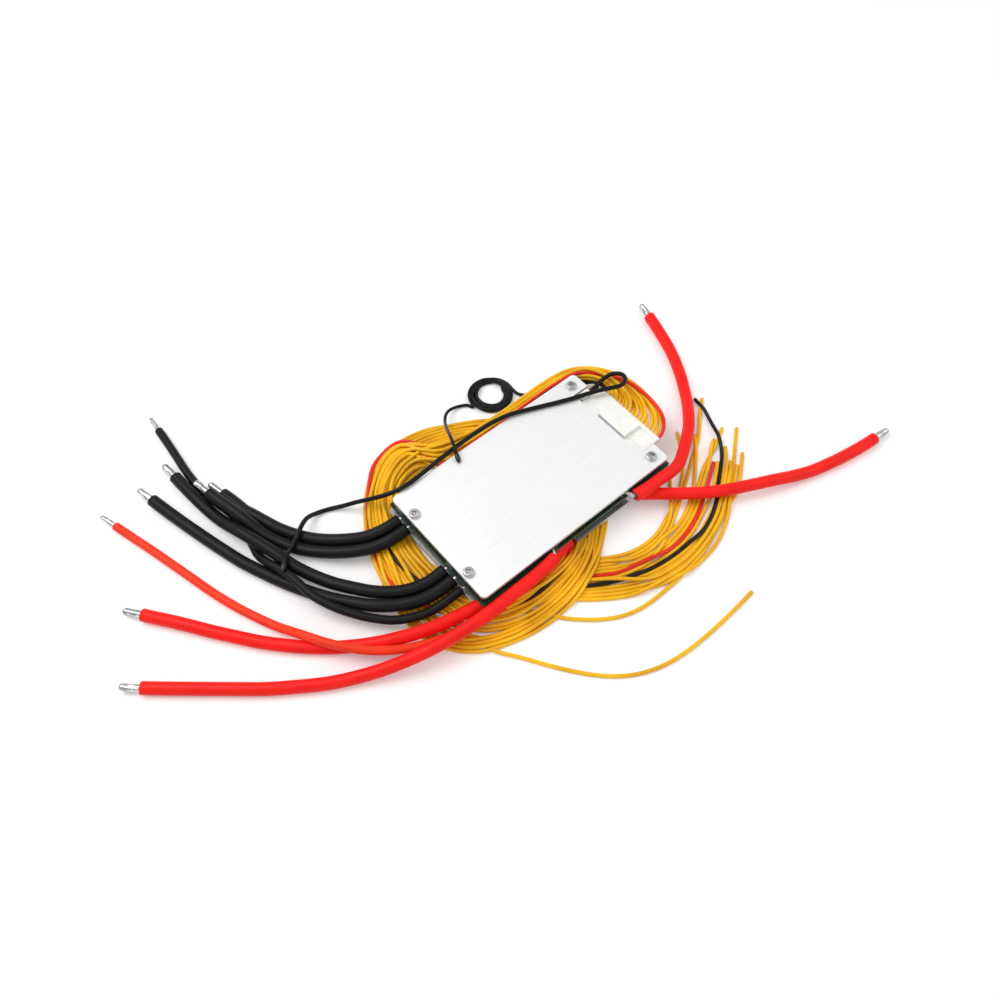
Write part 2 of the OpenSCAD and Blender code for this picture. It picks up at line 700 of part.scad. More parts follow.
// Small three-legged transistors beside the balance resistors.
module balance_transistors() {
    body_l = 2.9;
    body_w = 1.3;
    body_h = 1;
    lift = 0.1;
    foot_l = 0.4;
    foot_w = 0.7;
    foot_h = 0.2;
    foot_y = 0.95;
    step = 1.18 * half_l / cells;
    color(dark)
    on_board()
    for (i = [0 : cells - 1])
        translate([-0.54 * half_l + i * step, 0.86 * half_w, board_top]) {
            block(-body_l / 2, body_l / 2, 0, body_w, lift, body_h);
            for (x = [-1, 1])
                translate([x * foot_y, 0, 0])
                    block(-foot_l / 2, foot_l / 2, -foot_y, foot_w, 0, foot_h);
            block(-foot_l / 2, foot_l / 2, foot_y, foot_w, 0, foot_h);
        }
}

// A square chip with legs on all four sides.
module leaded_chip(side, h, legs) {
    leg_out = 0.8;
    leg_h = 0.25;
    lift = 0.1;
    step = 0.84 * side / legs;
    translate([-side / 2, -side / 2, lift]) cube([side, side, h]);
    for (a = [0 : 90 : 270], i = [0 : legs - 1])
        rotate(a)
            translate([side / 2 - lift, (i - legs / 2 + 0.35) * step, 0])
                cube([leg_out + lift, 0.3 * step, leg_h]);
}

module monitor_chip() {
    side = 10;
    h = 1.4;
    legs = 12;
    color(dark)
    on_board()
    translate([0.62 * half_l, 0.14 * half_w, board_top])
    leaded_chip(side, h, legs);
}

// A small chip with legs on its two long sides.
module driver_chips() {
    body_l = 5;
    body_w = 3.9;
    body_h = 1.4;
    lift = 0.15;
    leg_w = 0.4;
    leg_l = 1;
    leg_h = 0.3;
    places = [[0.16, -0.38], [0.36, -0.38], [0.56, -0.38], [-0.88, 0.12]];
    color(dark)
    on_board()
    for (p = places)
        translate([p[0] * half_l, p[1] * half_w, board_top]) {
            block(-body_l / 2, body_l / 2, 0, body_w, lift, body_h);
            for (i = [0 : 3], s = [-1, 1])
                translate([(i - 1.5) * body_l / 4, s * (body_w + leg_l) / 2, 0])
                    block(-leg_w / 2, leg_w / 2, 0, leg_l, 0, leg_h);
        }
}

module capacitors() {
    cap_l = 3.2;
    cap_w = 1.6;
    cap_h = 1.2;
    tall_w = 3.2;
    tall_l = 1.6;
    cap_gap = 0.5;
    color([0.62, 0.5, 0.36])
    on_board() {
        for (i = [0 : 9])
            translate([(-0.54 + 0.1 * i) * half_l, 0.21 * half_w, board_top])
                block(0, cap_l, 0, cap_w, 0, cap_h);
        for (i = [0 : 4])
            translate([pin_tail_x - pin_t / 2 - cap_gap - tall_l, (-0.5 + 0.2 * i) * half_w, board_top])
                block(0, tall_l, 0, tall_w, 0, cap_h);
        for (i = [0 : 4])
            translate([(0.1 + 0.11 * i) * half_l, -0.54 * half_w, board_top])
                block(0, cap_l, 0, cap_w, 0, cap_h);
    }
}

// ---- Connectors ----

// A tray with a back wall and two side walls, open at the front and the top.
module balance_header() {
    color(white)
    on_board()
    translate([0, -conn_offset, 0])
    difference() {
        block(header_x0, header_x1, 0, header_w, board_top, header_h);
        block(header_x0 + header_back, header_x1 + 1, 0, header_w - 2 * header_wall,
            board_top + header_floor, header_h);
        for (i = [0 : ways - 1])
            translate([0, ((ways - 1) / 2 - i) * pitch, 0])
                block(header_x0 - 1, header_x0 + header_back + 1, 0, pin_t, way_z - pin_t / 2,
                    pin_t);
    }
}

// Square pins, bent down at the back of the header and soldered in the board.
module header_pins() {
    color(tin)
    on_board()
    for (y = way_y) {
        block(pin_tail_x - pin_t / 2, header_x0 + header_back + pin_reach, y, pin_t,
            way_z - pin_t / 2, pin_t);
        block(pin_tail_x - pin_t / 2, pin_tail_x + pin_t / 2, y, pin_t, board_z - pin_tail,
            way_z - board_z + pin_tail);
    }
}

// The white plug with its raised middle block, its wire side rail and its ways.
module balance_plug() {
    body_h = header_h - header_floor - plug_clear;
    rail_h = body_h + 0.5;
    rib = 0.35;
    color(white)
    on_board()
    translate([0, -conn_offset, 0])
    difference() {
        union() {
            block(plug_x0, plug_x1, 0, plug_w, plug_z, body_h);
            block(plug_x1 - strip_l, plug_x1, 0, plug_w, plug_z, rail_h);
            block(plug_x0, plug_x1 - strip_l + nil, 0, latch_w, plug_z, board_top + latch_h - plug_z);
            block(latch_x0, plug_x0 + nil, 0, latch_w, board_top + header_h + lock_gap,
                latch_h - header_h - lock_gap);
            for (i = [0 : 3], s = [-1, 1])
                block(plug_x0 + 1.2 + i * 1.6, plug_x0 + 1.2 + i * 1.6 + rib,
                    s * (plug_w + latch_w) / 4, (plug_w - latch_w) / 2, plug_z, body_h + 0.2);
        }
        for (i = [0 : ways - 1])
            translate([0, ((ways - 1) / 2 - i) * pitch, way_z])
                rotate([0, 90, 0]) {
                    translate([0, 0, plug_x1 - crimp_l - 1]) cylinder(h = crimp_l + 2, d = way_d,
                        $fn = 24);
                    translate([0, 0, plug_x0 - 1]) cylinder(h = plug_l, d = way_d - 0.7, $fn = 16);
                }
    }
}

// A crimp sleeve round each wire's core, deep in its way.
module crimp_terminals() {
    sleeve = way_d - 2 * crimp_clear;
    color(tin)
    on_board()
    for (y = way_y)
        translate([plug_x1 - crimp_l - 0.9, y, way_z])
            rotate([0, 90, 0])
                difference() {
                    cylinder(h = crimp_l - 1.4, d = sleeve, $fn = 16);
                    translate([0, 0, -1]) cylinder(h = crimp_l, d = pin_t * 1.5, $fn = 16);
                }
}

// A small white socket for the two sensor cables, beside the balance header.
module sensor_socket() {
    color(white)
    on_board()
    difference() {
        block(sensor_x0, sensor_x0 + sensor_l, sensor_y, sensor_w, board_top, sensor_h);
        for (z = sensor_way_z)
            translate([sensor_x0 + sensor_l / 2, sensor_y, z])
                rotate([0, 90, 0]) cylinder(h = sensor_l, d = sensor_pin, $fn = 16);
    }
}

// ---- Lead ends on the board ----

// A bare stub from a lead's end to its pad.
module stub(at, to, d) {
    v = to - at;
    aimed(at, v) cylinder(h = norm(v), d = d, $fn = 24);
}

// A block of solder on the board: its nearest corner to the origin of the cube.
module solder_block(at, size) {
    translate(at) cube(size);
}

module lead_joints() {
    under = board_z - tail_pad_h;
    below = board_z - pad_h;
    ends = [black_lead_1_route, black_lead_2_route, black_lead_3_route, black_lead_4_route];
    thin = thin_black_lead_route[0];
    warm = orange_lead_route[0];
    lift = 0.8;
    red_x = [
        red_lead_1_route[0][0] + pad_l / 2 + joint_gap, red_lead_2_route[0][0] + pad_l / 2,
        red_lead_3_route[0][0] - pad_l / 2, red_lead_4_route[0][0] - pad_l / 2 - joint_gap
    ];
    color(tin) {
        for (r = ends) {
            stub(r[0], [joint_x + joint_in, r[0][1], under + stub_d / 2], stub_d);
            solder_block([joint_x, r[0][1] - tail_pad_w / 2, under], [tail_pad_w / 2, tail_pad_w, tail_pad_h]);
        }
        stub(thin, [joint_x + joint_in, thin[1], under + thin_stub_d / 2], thin_stub_d);
        solder_block([joint_x, thin[1] - joint_in, under], [joint_in, 2 * joint_in, tail_pad_h]);
        stub(red_lead_1_route[0], [red_x[0], joint_y + stub_d, below + lift], stub_d);
        stub(red_lead_2_route[0], [red_x[1], joint_y + stub_d, board_top + lift + edge_gap / 2], stub_d);
        stub(red_lead_3_route[0], [red_x[2], joint_y + stub_d, board_top + lift + edge_gap / 2], stub_d);
        stub(red_lead_4_route[0], [red_x[3], joint_y + stub_d, below + lift], stub_d);
        stub(warm, [warm[0] + joint_in, joint_y + joint_in, board_z - lift], thin_stub_d);
        for (i = [0, 3])
            solder_block([red_x[i] - pad_l / 2, joint_y, below], [pad_l, pad_w, pad_h]);
        for (i = [1, 2])
            solder_block([red_x[i] - pad_l / 2, joint_y, board_top], [pad_l, pad_w, pad_h]);
        solder_block([warm[0], joint_y, under], [tail_pad_w, joint_in * 2, tail_pad_h]);
    }
}

// ---- Power leads ----

module black_lead_1() { color(dark) tube(black_lead_1_route, lead_d, 12); }
module black_lead_2() { color(dark) tube(black_lead_2_route, lead_d, 12); }
module black_lead_3() { color(dark) tube(black_lead_3_route, lead_d, 12); }
module black_lead_4() { color(dark) tube(black_lead_4_route, lead_d, 12); }
module thin_black_lead() { color(dark) tube(thin_black_lead_route, thin_d, 12); }
module red_lead_1() { color(red) tube(red_lead_1_route, lead_d, 12); }
module red_lead_2() { color(red) tube(red_lead_2_route, lead_d, 12); }
module red_lead_3() { color(red) tube(red_lead_3_route, lead_d, 12); }
module red_lead_4() { color(red) tube(red_lead_4_route, lead_d, 12); }
module orange_lead() { color(orange) tube(orange_lead_route, thin_d, 12); }

module tinned_ends() {
    color(tin) {
        for (r = [black_lead_1_route, black_lead_2_route, black_lead_3_route, black_lead_4_route,
                red_lead_1_route, red_lead_2_route, red_lead_3_route, red_lead_4_route])
            bare_end(r, core_d);
        for (r = [thin_black_lead_route, orange_lead_route])
            bare_end(r, thin_core_d);
    }
}

// ---- Sensor cables ----

module sensor_cable_a() { color(dark) tube(sensor_a_route, sensor_a_d, 8); }
module sensor_cable_b() { color(dark) tube(sensor_b_route, sensor_b_d, 8); }
module sensor_tail_b() { color(dark) tube(sensor_b_tail_route, sensor_b_d, 8); }

// The turns of the second sensor cable, as one ring.
module sensor_coil_b() {
    color(dark)
    translate([sensor_coil_at[0], sensor_coil_at[1], floor_z])
    rotate_extrude()
    translate([sensor_coil_hole, 0]) square([sensor_coil_r - sensor_coil_hole, sensor_coil_h]);
}

// The dipped beads at the sensor cables' ends.
module sensor_beads() {
    ends = [sensor_a_route, sensor_b_tail_route];
    color(dark)
    for (r = ends)
        let (n = len(r))
        aimed(r[n - 1], r[n - 1] - r[n - 2])
            rotate_extrude($fn = 24)
                union() {
                    square([1.3, 3]);
                    translate([0, 3]) intersection() {
                        circle(1.3, $fn = 24);
                        square(2);
                    }
                }
}

// ---- Balance harness ----

module wire_bundle() {
    color(yellow)
    band(bundle_inner, bundle_outer, bundle_z, bundle_h, 16);
}

// A stadium outline: two round ends and the straight stretch between them.
module stadium(r) {
    for (s = [-1, 1])
        translate([s * coil_half, 0]) circle(r, $fn = 96);
    square([2 * coil_half, 2 * r], center = true);
}

module wire_coil() {
    color(yellow)
    translate([coil_at[0], coil_at[1], floor_z])
    rotate(coil_angle)
    linear_extrude(coil_h)
    difference() {
        stadium(coil_r);
        stadium(coil_r - coil_band);
    }
}

module yellow_wires() {
    color(yellow)
    for (w = fan_wires)
        tube(fan_route(w), wire_d, 8);
}

module red_wire() { color(red) tube(fan_route(fan_red), wire_d, 8); }
module black_wire() { color(dark) tube(fan_route(fan_black), wire_d, 8); }
module loose_wire() { color(yellow) tube(loose_wire_route, wire_d, 8); }

cover_plate();
base_plate();
circuit_board();
cover_screws();
upper_spacers();
lower_spacers();
power_transistors();
transistor_metal();
thermal_pad();
shunt_resistors();
bus_bars();
balance_resistors();
balance_transistors();
monitor_chip();
driver_chips();
capacitors();
balance_header();
header_pins();
balance_plug();
crimp_terminals();
sensor_socket();
lead_joints();
black_lead_1();
black_lead_2();
black_lead_3();
black_lead_4();
thin_black_lead();
red_lead_1();
red_lead_2();
red_lead_3();
red_lead_4();
orange_lead();
tinned_ends();
sensor_cable_a();
sensor_cable_b();
sensor_coil_b();
sensor_tail_b();
sensor_beads();
wire_bundle();
wire_coil();
yellow_wires();
red_wire();
black_wire();
loose_wire();
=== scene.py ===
"""Battery management board: looks for its plates, board, leads and balance harness.

Laid out as an add-on: sizes and colours in property groups, one operator for each
group of like pieces, one panel. Every length is in metres, in the frame of the part.
"""

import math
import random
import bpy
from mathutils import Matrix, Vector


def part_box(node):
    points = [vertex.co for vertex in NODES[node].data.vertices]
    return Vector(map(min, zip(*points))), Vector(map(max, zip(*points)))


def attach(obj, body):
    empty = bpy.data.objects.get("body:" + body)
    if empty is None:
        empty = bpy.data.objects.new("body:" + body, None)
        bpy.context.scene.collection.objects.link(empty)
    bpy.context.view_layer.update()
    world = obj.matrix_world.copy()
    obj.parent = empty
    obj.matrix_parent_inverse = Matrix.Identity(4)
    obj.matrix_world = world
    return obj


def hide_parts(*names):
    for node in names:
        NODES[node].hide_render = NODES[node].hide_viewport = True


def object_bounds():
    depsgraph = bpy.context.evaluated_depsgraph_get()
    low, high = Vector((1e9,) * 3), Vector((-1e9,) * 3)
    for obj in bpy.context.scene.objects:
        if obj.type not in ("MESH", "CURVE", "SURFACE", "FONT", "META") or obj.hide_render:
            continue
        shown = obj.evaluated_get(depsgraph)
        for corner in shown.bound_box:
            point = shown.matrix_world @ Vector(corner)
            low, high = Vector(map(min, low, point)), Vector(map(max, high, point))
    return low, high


bl_info = {
    "name": "Battery management board",
    "version": (1, 0, 0),
    "blender": (4, 5, 0),
    "location": "View3D > Sidebar > Board",
    "description": "Dresses a battery management board with its leads and harness",
    "category": "Object",
}

import bpy
import numpy as np
from bpy.props import FloatProperty, FloatVectorProperty, IntProperty, PointerProperty
from mathutils import Matrix, Vector

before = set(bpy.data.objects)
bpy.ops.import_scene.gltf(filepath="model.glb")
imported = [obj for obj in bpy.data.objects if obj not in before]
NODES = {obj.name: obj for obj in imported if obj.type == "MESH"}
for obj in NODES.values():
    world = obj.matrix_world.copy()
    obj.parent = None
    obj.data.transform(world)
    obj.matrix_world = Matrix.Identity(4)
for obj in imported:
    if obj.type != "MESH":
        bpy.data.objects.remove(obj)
CAD_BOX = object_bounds()

# ---- Routes, in metres ----

ROUTES = {
    "black_lead_1": (
        (-0.0657, 0.0274, -0.0019), (-0.071, 0.0276, -0.0022), (-0.077, 0.0288, -0.003),
        (-0.084, 0.0316, -0.004), (-0.091, 0.0364, -0.0048), (-0.098, 0.043, -0.0062),
        (-0.1038, 0.0502, -0.0078), (-0.1086, 0.058, -0.0088), (-0.1128, 0.066, -0.0088),
        (-0.1158, 0.074, -0.0088), (-0.1186, 0.082, -0.0088), (-0.1202, 0.086, -0.0088),
        (-0.1209, 0.09, -0.0088), (-0.122, 0.096, -0.0088), (-0.1234, 0.102, -0.0088),
    ),
    "black_lead_2": (
        (-0.0657, 0.021, -0.0019), (-0.071, 0.021, -0.0022), (-0.078, 0.022, -0.003),
        (-0.085, 0.0246, -0.004), (-0.0926, 0.0292, -0.0048), (-0.1002, 0.0358, -0.0062),
        (-0.107, 0.0436, -0.0078), (-0.1128, 0.0516, -0.0086), (-0.1172, 0.06, -0.0088),
        (-0.1206, 0.068, -0.0076), (-0.1229, 0.077, -0.0052), (-0.1248, 0.085, -0.0043),
        (-0.1268, 0.093, -0.0044), (-0.1282, 0.099, -0.0044), (-0.1292, 0.104, -0.0044),
    ),
    "black_lead_3": (
        (-0.0657, -0.009, -0.0019), (-0.071, -0.009, -0.0024), (-0.077, -0.0082, -0.0032),
        (-0.084, -0.0058, -0.0038), (-0.091, -0.0014, -0.0044), (-0.098, 0.005, -0.0045),
        (-0.104, 0.013, -0.0052), (-0.1096, 0.022, -0.0066), (-0.1146, 0.032, -0.0074),
        (-0.119, 0.042, -0.0064), (-0.1222, 0.052, -0.0046), (-0.125, 0.061, -0.0041),
        (-0.1274, 0.069, -0.0042), (-0.1298, 0.077, -0.0051), (-0.1318, 0.085, -0.0074),
        (-0.1334, 0.093, -0.0086), (-0.1346, 0.101, -0.0088), (-0.1356, 0.11, -0.0088),
        (-0.1364, 0.119, -0.0088), (-0.137, 0.127, -0.0088),
    ),
    "black_lead_4": (
        (-0.0657, -0.0156, -0.0019), (-0.071, -0.0156, -0.0024), (-0.078, -0.0148, -0.0032),
        (-0.086, -0.0124, -0.0038), (-0.094, -0.0076, -0.0044), (-0.102, -0.001, -0.0046),
        (-0.109, 0.0076, -0.0058), (-0.1154, 0.017, -0.0074), (-0.121, 0.027, -0.0086),
        (-0.1268, 0.038, -0.0088), (-0.132, 0.0496, -0.0088), (-0.1366, 0.061, -0.0088),
        (-0.1404, 0.073, -0.0088), (-0.1438, 0.085, -0.0088), (-0.147, 0.097, -0.0088),
        (-0.15, 0.109, -0.0088), (-0.153, 0.122, -0.0088),
    ),
    "thin_black_lead": (
        (-0.0657, -0.022, -0.003), (-0.071, -0.0216, -0.0036), (-0.077, -0.0214, -0.0044),
        (-0.084, -0.0202, -0.0052), (-0.092, -0.0172, -0.0055), (-0.1, -0.012, -0.0055),
        (-0.107, -0.0046, -0.0052), (-0.113, 0.0036, -0.0046), (-0.1178, 0.012, -0.0038),
        (-0.1212, 0.0206, -0.0032), (-0.1226, 0.028, -0.003), (-0.1236, 0.036, -0.0035),
        (-0.1254, 0.044, -0.0048), (-0.1278, 0.052, -0.0063), (-0.1288, 0.06, -0.0088),
        (-0.1276, 0.068, -0.0098), (-0.1264, 0.076, -0.0098), (-0.126, 0.084, -0.0098),
        (-0.1268, 0.092, -0.0098), (-0.1286, 0.1, -0.0098), (-0.13, 0.108, -0.0098),
        (-0.1308, 0.117, -0.0098), (-0.1308, 0.127, -0.0098), (-0.13, 0.138, -0.0098),
        (-0.1292, 0.149, -0.0098), (-0.1286, 0.16, -0.0098),
    ),
    "red_lead_1": (
        (-0.008, -0.0344, -0.0045), (-0.013, -0.0356, -0.0045), (-0.02, -0.0366, -0.0045),
        (-0.029, -0.037, -0.0045), (-0.038, -0.0366, -0.0045), (-0.047, -0.0356, -0.0045),
        (-0.056, -0.0342, -0.0045), (-0.065, -0.0328, -0.0045), (-0.075, -0.031, -0.0045),
        (-0.085, -0.0286, -0.0045), (-0.095, -0.0252, -0.0045), (-0.104, -0.021, -0.005),
        (-0.113, -0.0156, -0.0066), (-0.121, -0.0098, -0.0082), (-0.129, -0.0036, -0.0088),
        (-0.137, 0.0034, -0.0088), (-0.145, 0.0114, -0.0088), (-0.153, 0.0204, -0.0088),
        (-0.16, 0.0296, -0.0088), (-0.167, 0.039, -0.0088), (-0.173, 0.0476, -0.0088),
        (-0.179, 0.056, -0.0088), (-0.184, 0.0626, -0.0088), (-0.188, 0.068, -0.0088),
    ),
    "red_lead_2": (
        (-0.022, -0.0398, 0.0023), (-0.027, -0.0404, 0.0022), (-0.032, -0.0408, 0.002),
        (-0.039, -0.041, 0.0018), (-0.047, -0.041, 0.0014), (-0.057, -0.041, 0.0011),
        (-0.067, -0.0408, 0.0008), (-0.077, -0.04, 0.0004), (-0.087, -0.0386, -0.0004),
        (-0.097, -0.0364, -0.0016), (-0.107, -0.0332, -0.0034), (-0.118, -0.0286, -0.006),
        (-0.129, -0.023, -0.0082), (-0.14, -0.017, -0.0088), (-0.152, -0.009, -0.0088),
        (-0.163, -0.001, -0.0088), (-0.173, 0.0074, -0.0088), (-0.183, 0.016, -0.0088),
        (-0.193, 0.0246, -0.0088), (-0.201, 0.0316, -0.0088), (-0.206, 0.036, -0.0088),
    ),
    "red_lead_3": (
        (0.032, -0.0398, 0.0023), (0.037, -0.0404, 0.0023), (0.043, -0.0408, 0.0021),
        (0.049, -0.0406, 0.0016), (0.057, -0.0408, 0.0006), (0.065, -0.0392, -0.0008),
        (0.073, -0.035, -0.0024), (0.081, -0.03, -0.004), (0.0884, -0.025, -0.0052),
        (0.095, -0.019, -0.0062), (0.1014, -0.0124, -0.0076), (0.1072, -0.0052, -0.0086),
        (0.113, 0.003, -0.0088), (0.118, 0.0114, -0.0088), (0.1224, 0.02, -0.0088),
        (0.1264, 0.03, -0.0088), (0.1296, 0.039, -0.0088), (0.1322, 0.047, -0.0088),
    ),
    "red_lead_4": (
        (0.036, -0.0362, -0.0045), (0.039, -0.0388, -0.0045), (0.0434, -0.0424, -0.0045),
        (0.0486, -0.0468, -0.0045), (0.0546, -0.0518, -0.0045), (0.0614, -0.057, -0.0045),
        (0.069, -0.0622, -0.0045), (0.078, -0.0674, -0.0045), (0.088, -0.0724, -0.0045),
        (0.0984, -0.077, -0.0054), (0.109, -0.0812, -0.0074), (0.12, -0.085, -0.0088),
        (0.131, -0.088, -0.0088), (0.142, -0.0904, -0.0088), (0.153, -0.0922, -0.0088),
        (0.162, -0.0932, -0.0088),
    ),
    "orange_lead": (
        (-0.055, -0.0404, -0.0048), (-0.06, -0.0404, -0.0054), (-0.066, -0.04, -0.0056),
        (-0.073, -0.039, -0.0056), (-0.081, -0.0372, -0.0056), (-0.089, -0.0344, -0.0056),
        (-0.097, -0.031, -0.0054), (-0.105, -0.027, -0.0048), (-0.112, -0.0224, -0.004),
        (-0.119, -0.0166, -0.0032), (-0.125, -0.0098, -0.0026), (-0.1304, -0.0024, -0.0027),
        (-0.1348, 0.0056, -0.0038), (-0.1388, 0.014, -0.0066), (-0.143, 0.023, -0.0094),
        (-0.148, 0.034, -0.0098), (-0.1524, 0.045, -0.0098), (-0.1564, 0.057, -0.0098),
        (-0.16, 0.07, -0.0098), (-0.1636, 0.083, -0.0098), (-0.1672, 0.096, -0.0098),
        (-0.1708, 0.108, -0.0098), (-0.1746, 0.121, -0.0098),
    ),
    "sensor_a": (
        (0.0589, 0.0223, 0.0037), (0.062, 0.0224, 0.0037), (0.066, 0.023, 0.0039),
        (0.071, 0.0234, 0.0046), (0.0754, 0.022, 0.006), (0.0782, 0.0178, 0.0074),
        (0.0764, 0.0134, 0.0084), (0.0716, 0.012, 0.0088), (0.0664, 0.0142, 0.0086),
        (0.061, 0.0176, 0.0076), (0.054, 0.0206, 0.0071), (0.047, 0.023, 0.0071),
        (0.04, 0.0258, 0.0071), (0.032, 0.0292, 0.0071), (0.024, 0.0326, 0.0072),
        (0.015, 0.036, 0.0074), (0.005, 0.0382, 0.0072), (-0.006, 0.0389, 0.007),
        (-0.017, 0.0388, 0.007), (-0.028, 0.0382, 0.007), (-0.039, 0.0372, 0.007),
        (-0.049, 0.0364, 0.0071), (-0.057, 0.0368, 0.007), (-0.064, 0.0404, 0.004),
        (-0.07, 0.046, -0.0006), (-0.075, 0.0514, -0.005), (-0.0806, 0.0564, -0.009),
        (-0.0866, 0.0604, -0.0108), (-0.093, 0.062, -0.01), (-0.0984, 0.061, -0.007),
        (-0.103, 0.058, -0.0044), (-0.1076, 0.0546, -0.0036), (-0.1124, 0.0516, -0.0039),
        (-0.1162, 0.0492, -0.0038), (-0.1186, 0.0472, -0.0017), (-0.1206, 0.0452, -0.0009),
        (-0.1226, 0.0432, -0.0009),
    ),
    "sensor_b": (
        (0.0589, 0.0223, 0.0015), (0.062, 0.0224, 0.0015), (0.0654, 0.023, 0.0009),
        (0.068, 0.025, -0.0006), (0.0694, 0.028, -0.0024), (0.069, 0.0314, -0.0038),
        (0.067, 0.0346, -0.0046), (0.0636, 0.0376, -0.005), (0.059, 0.04, -0.0052),
        (0.0534, 0.042, -0.0058), (0.0476, 0.0444, -0.007), (0.0424, 0.0474, -0.0086),
        (0.0386, 0.0508, -0.01), (0.0366, 0.0544, -0.011), (0.0362, 0.0588, -0.011),
    ),
    "sensor_b_tail": (
        (0.0118, 0.0632, -0.011), (0.0098, 0.0666, -0.011), (0.005, 0.069, -0.0106),
        (-0.001, 0.0686, -0.0084), (-0.006, 0.0654, -0.0056), (-0.0098, 0.061, -0.0036),
        (-0.0128, 0.056, -0.0002), (-0.0154, 0.051, 0.0036), (-0.0178, 0.046, 0.007),
        (-0.0198, 0.0416, 0.009), (-0.0216, 0.0376, 0.0093), (-0.023, 0.034, 0.008),
    ),
    "loose_wire": (
        (-0.066, -0.0608, -0.011), (-0.0626, -0.0666, -0.011), (-0.0584, -0.073, -0.011),
        (-0.0534, -0.0804, -0.011), (-0.0474, -0.0884, -0.011), (-0.041, -0.0958, -0.011),
        (-0.034, -0.1016, -0.011), (-0.026, -0.1064, -0.011), (-0.017, -0.1096, -0.011),
        (-0.007, -0.1114, -0.011), (0.004, -0.1122, -0.011), (0.015, -0.1122, -0.011),
        (0.026, -0.112, -0.011), (0.035, -0.1114, -0.011), (0.0436, -0.1108, -0.011),
    ),
}
BUNDLE_INNER = (
    (0.0656, 0.0186), (0.0676, 0.0189), (0.0694, 0.02), (0.0706, 0.0218), (0.0712, 0.024),
    (0.0712, 0.0266), (0.0706, 0.0294), (0.069, 0.0324), (0.0662, 0.0354), (0.0618, 0.0382),
    (0.055, 0.0388), (0.046, 0.0388), (0.036, 0.0388), (0.025, 0.0388), (0.014, 0.0388),
    (0.003, 0.0388), (-0.008, 0.039), (-0.019, 0.0394), (-0.029, 0.0398), (-0.036, 0.04),
)
BUNDLE_OUTER = (
    (0.0656, -0.0232), (0.0736, -0.0214), (0.08, -0.0156), (0.0842, -0.0076), (0.0864, 0.0014),
    (0.0868, 0.0106), (0.0852, 0.0196), (0.0816, 0.028), (0.0756, 0.0354), (0.0674, 0.0416),
    (0.0574, 0.0454), (0.047, 0.047), (0.036, 0.0472), (0.025, 0.0472), (0.014, 0.0476),
    (0.003, 0.049), (-0.008, 0.052), (-0.019, 0.056), (-0.029, 0.059), (-0.036, 0.06),
)

# Middle height of the balance bundle and its thickness, station by station.
BUNDLE_MID = (
    0.0022, 0.0022, 0.0022, 0.0022, 0.0022, 0.0022, 0.002, 0.0018, 0.0016, 0.0014, 0.001,
    0.0004, -0.0004, -0.0012, -0.002, -0.0028, -0.0036, -0.0044, -0.0056, -0.0072,
)
BUNDLE_DEEP = (
    0.0022, 0.0024, 0.0028, 0.0034, 0.004, 0.0046, 0.0052, 0.006, 0.0068, 0.0076, 0.008,
    0.008, 0.008, 0.008, 0.008, 0.0076, 0.0072, 0.0064, 0.0042, 0.001,
)

# The coil's inner and outer edge, one pair for each station, counterclockwise from the top.
COIL = (
    ((-0.026, 0.05), (-0.019, 0.068)),
    ((-0.034, 0.051), (-0.031, 0.0703)),
    ((-0.042, 0.051), (-0.0435, 0.069)),
    ((-0.05, 0.049), (-0.055, 0.0635)),
    ((-0.0575, 0.045), (-0.065, 0.0545)),
    ((-0.063, 0.038), (-0.0735, 0.0435)),
    ((-0.066, 0.028), (-0.0805, 0.031)),
    ((-0.067, 0.017), (-0.0862, 0.018)),
    ((-0.067, 0.005), (-0.09, 0.005)),
    ((-0.066, -0.005), (-0.0925, -0.008)),
    ((-0.064, -0.014), (-0.0935, -0.021)),
    ((-0.0605, -0.022), (-0.091, -0.033)),
    ((-0.055, -0.029), (-0.0855, -0.043)),
    ((-0.0485, -0.034), (-0.0765, -0.051)),
    ((-0.04, -0.037), (-0.0635, -0.057)),
    ((-0.032, -0.038), (-0.0485, -0.06)),
    ((-0.022, -0.038), (-0.033, -0.0603)),
    ((-0.012, -0.037), (-0.018, -0.0578)),
    ((-0.003, -0.0335), (-0.005, -0.0518)),
    ((0.004, -0.028), (0.0065, -0.0435)),
    ((0.009, -0.02), (0.017, -0.035)),
    ((0.012, -0.011), (0.0255, -0.024)),
    ((0.0145, -0.002), (0.0315, -0.012)),
    ((0.0155, 0.008), (0.0345, 0.001)),
    ((0.014, 0.018), (0.035, 0.014)),
    ((0.0105, 0.0275), (0.032, 0.027)),
    ((0.005, 0.0355), (0.0255, 0.0375)),
    ((-0.0015, 0.0415), (0.0165, 0.0465)),
    ((-0.009, 0.0455), (0.006, 0.0545)),
    ((-0.017, 0.0485), (-0.006, 0.0625)),
)
LEAVE_COIL = 9
LOOSE_WAY = 15

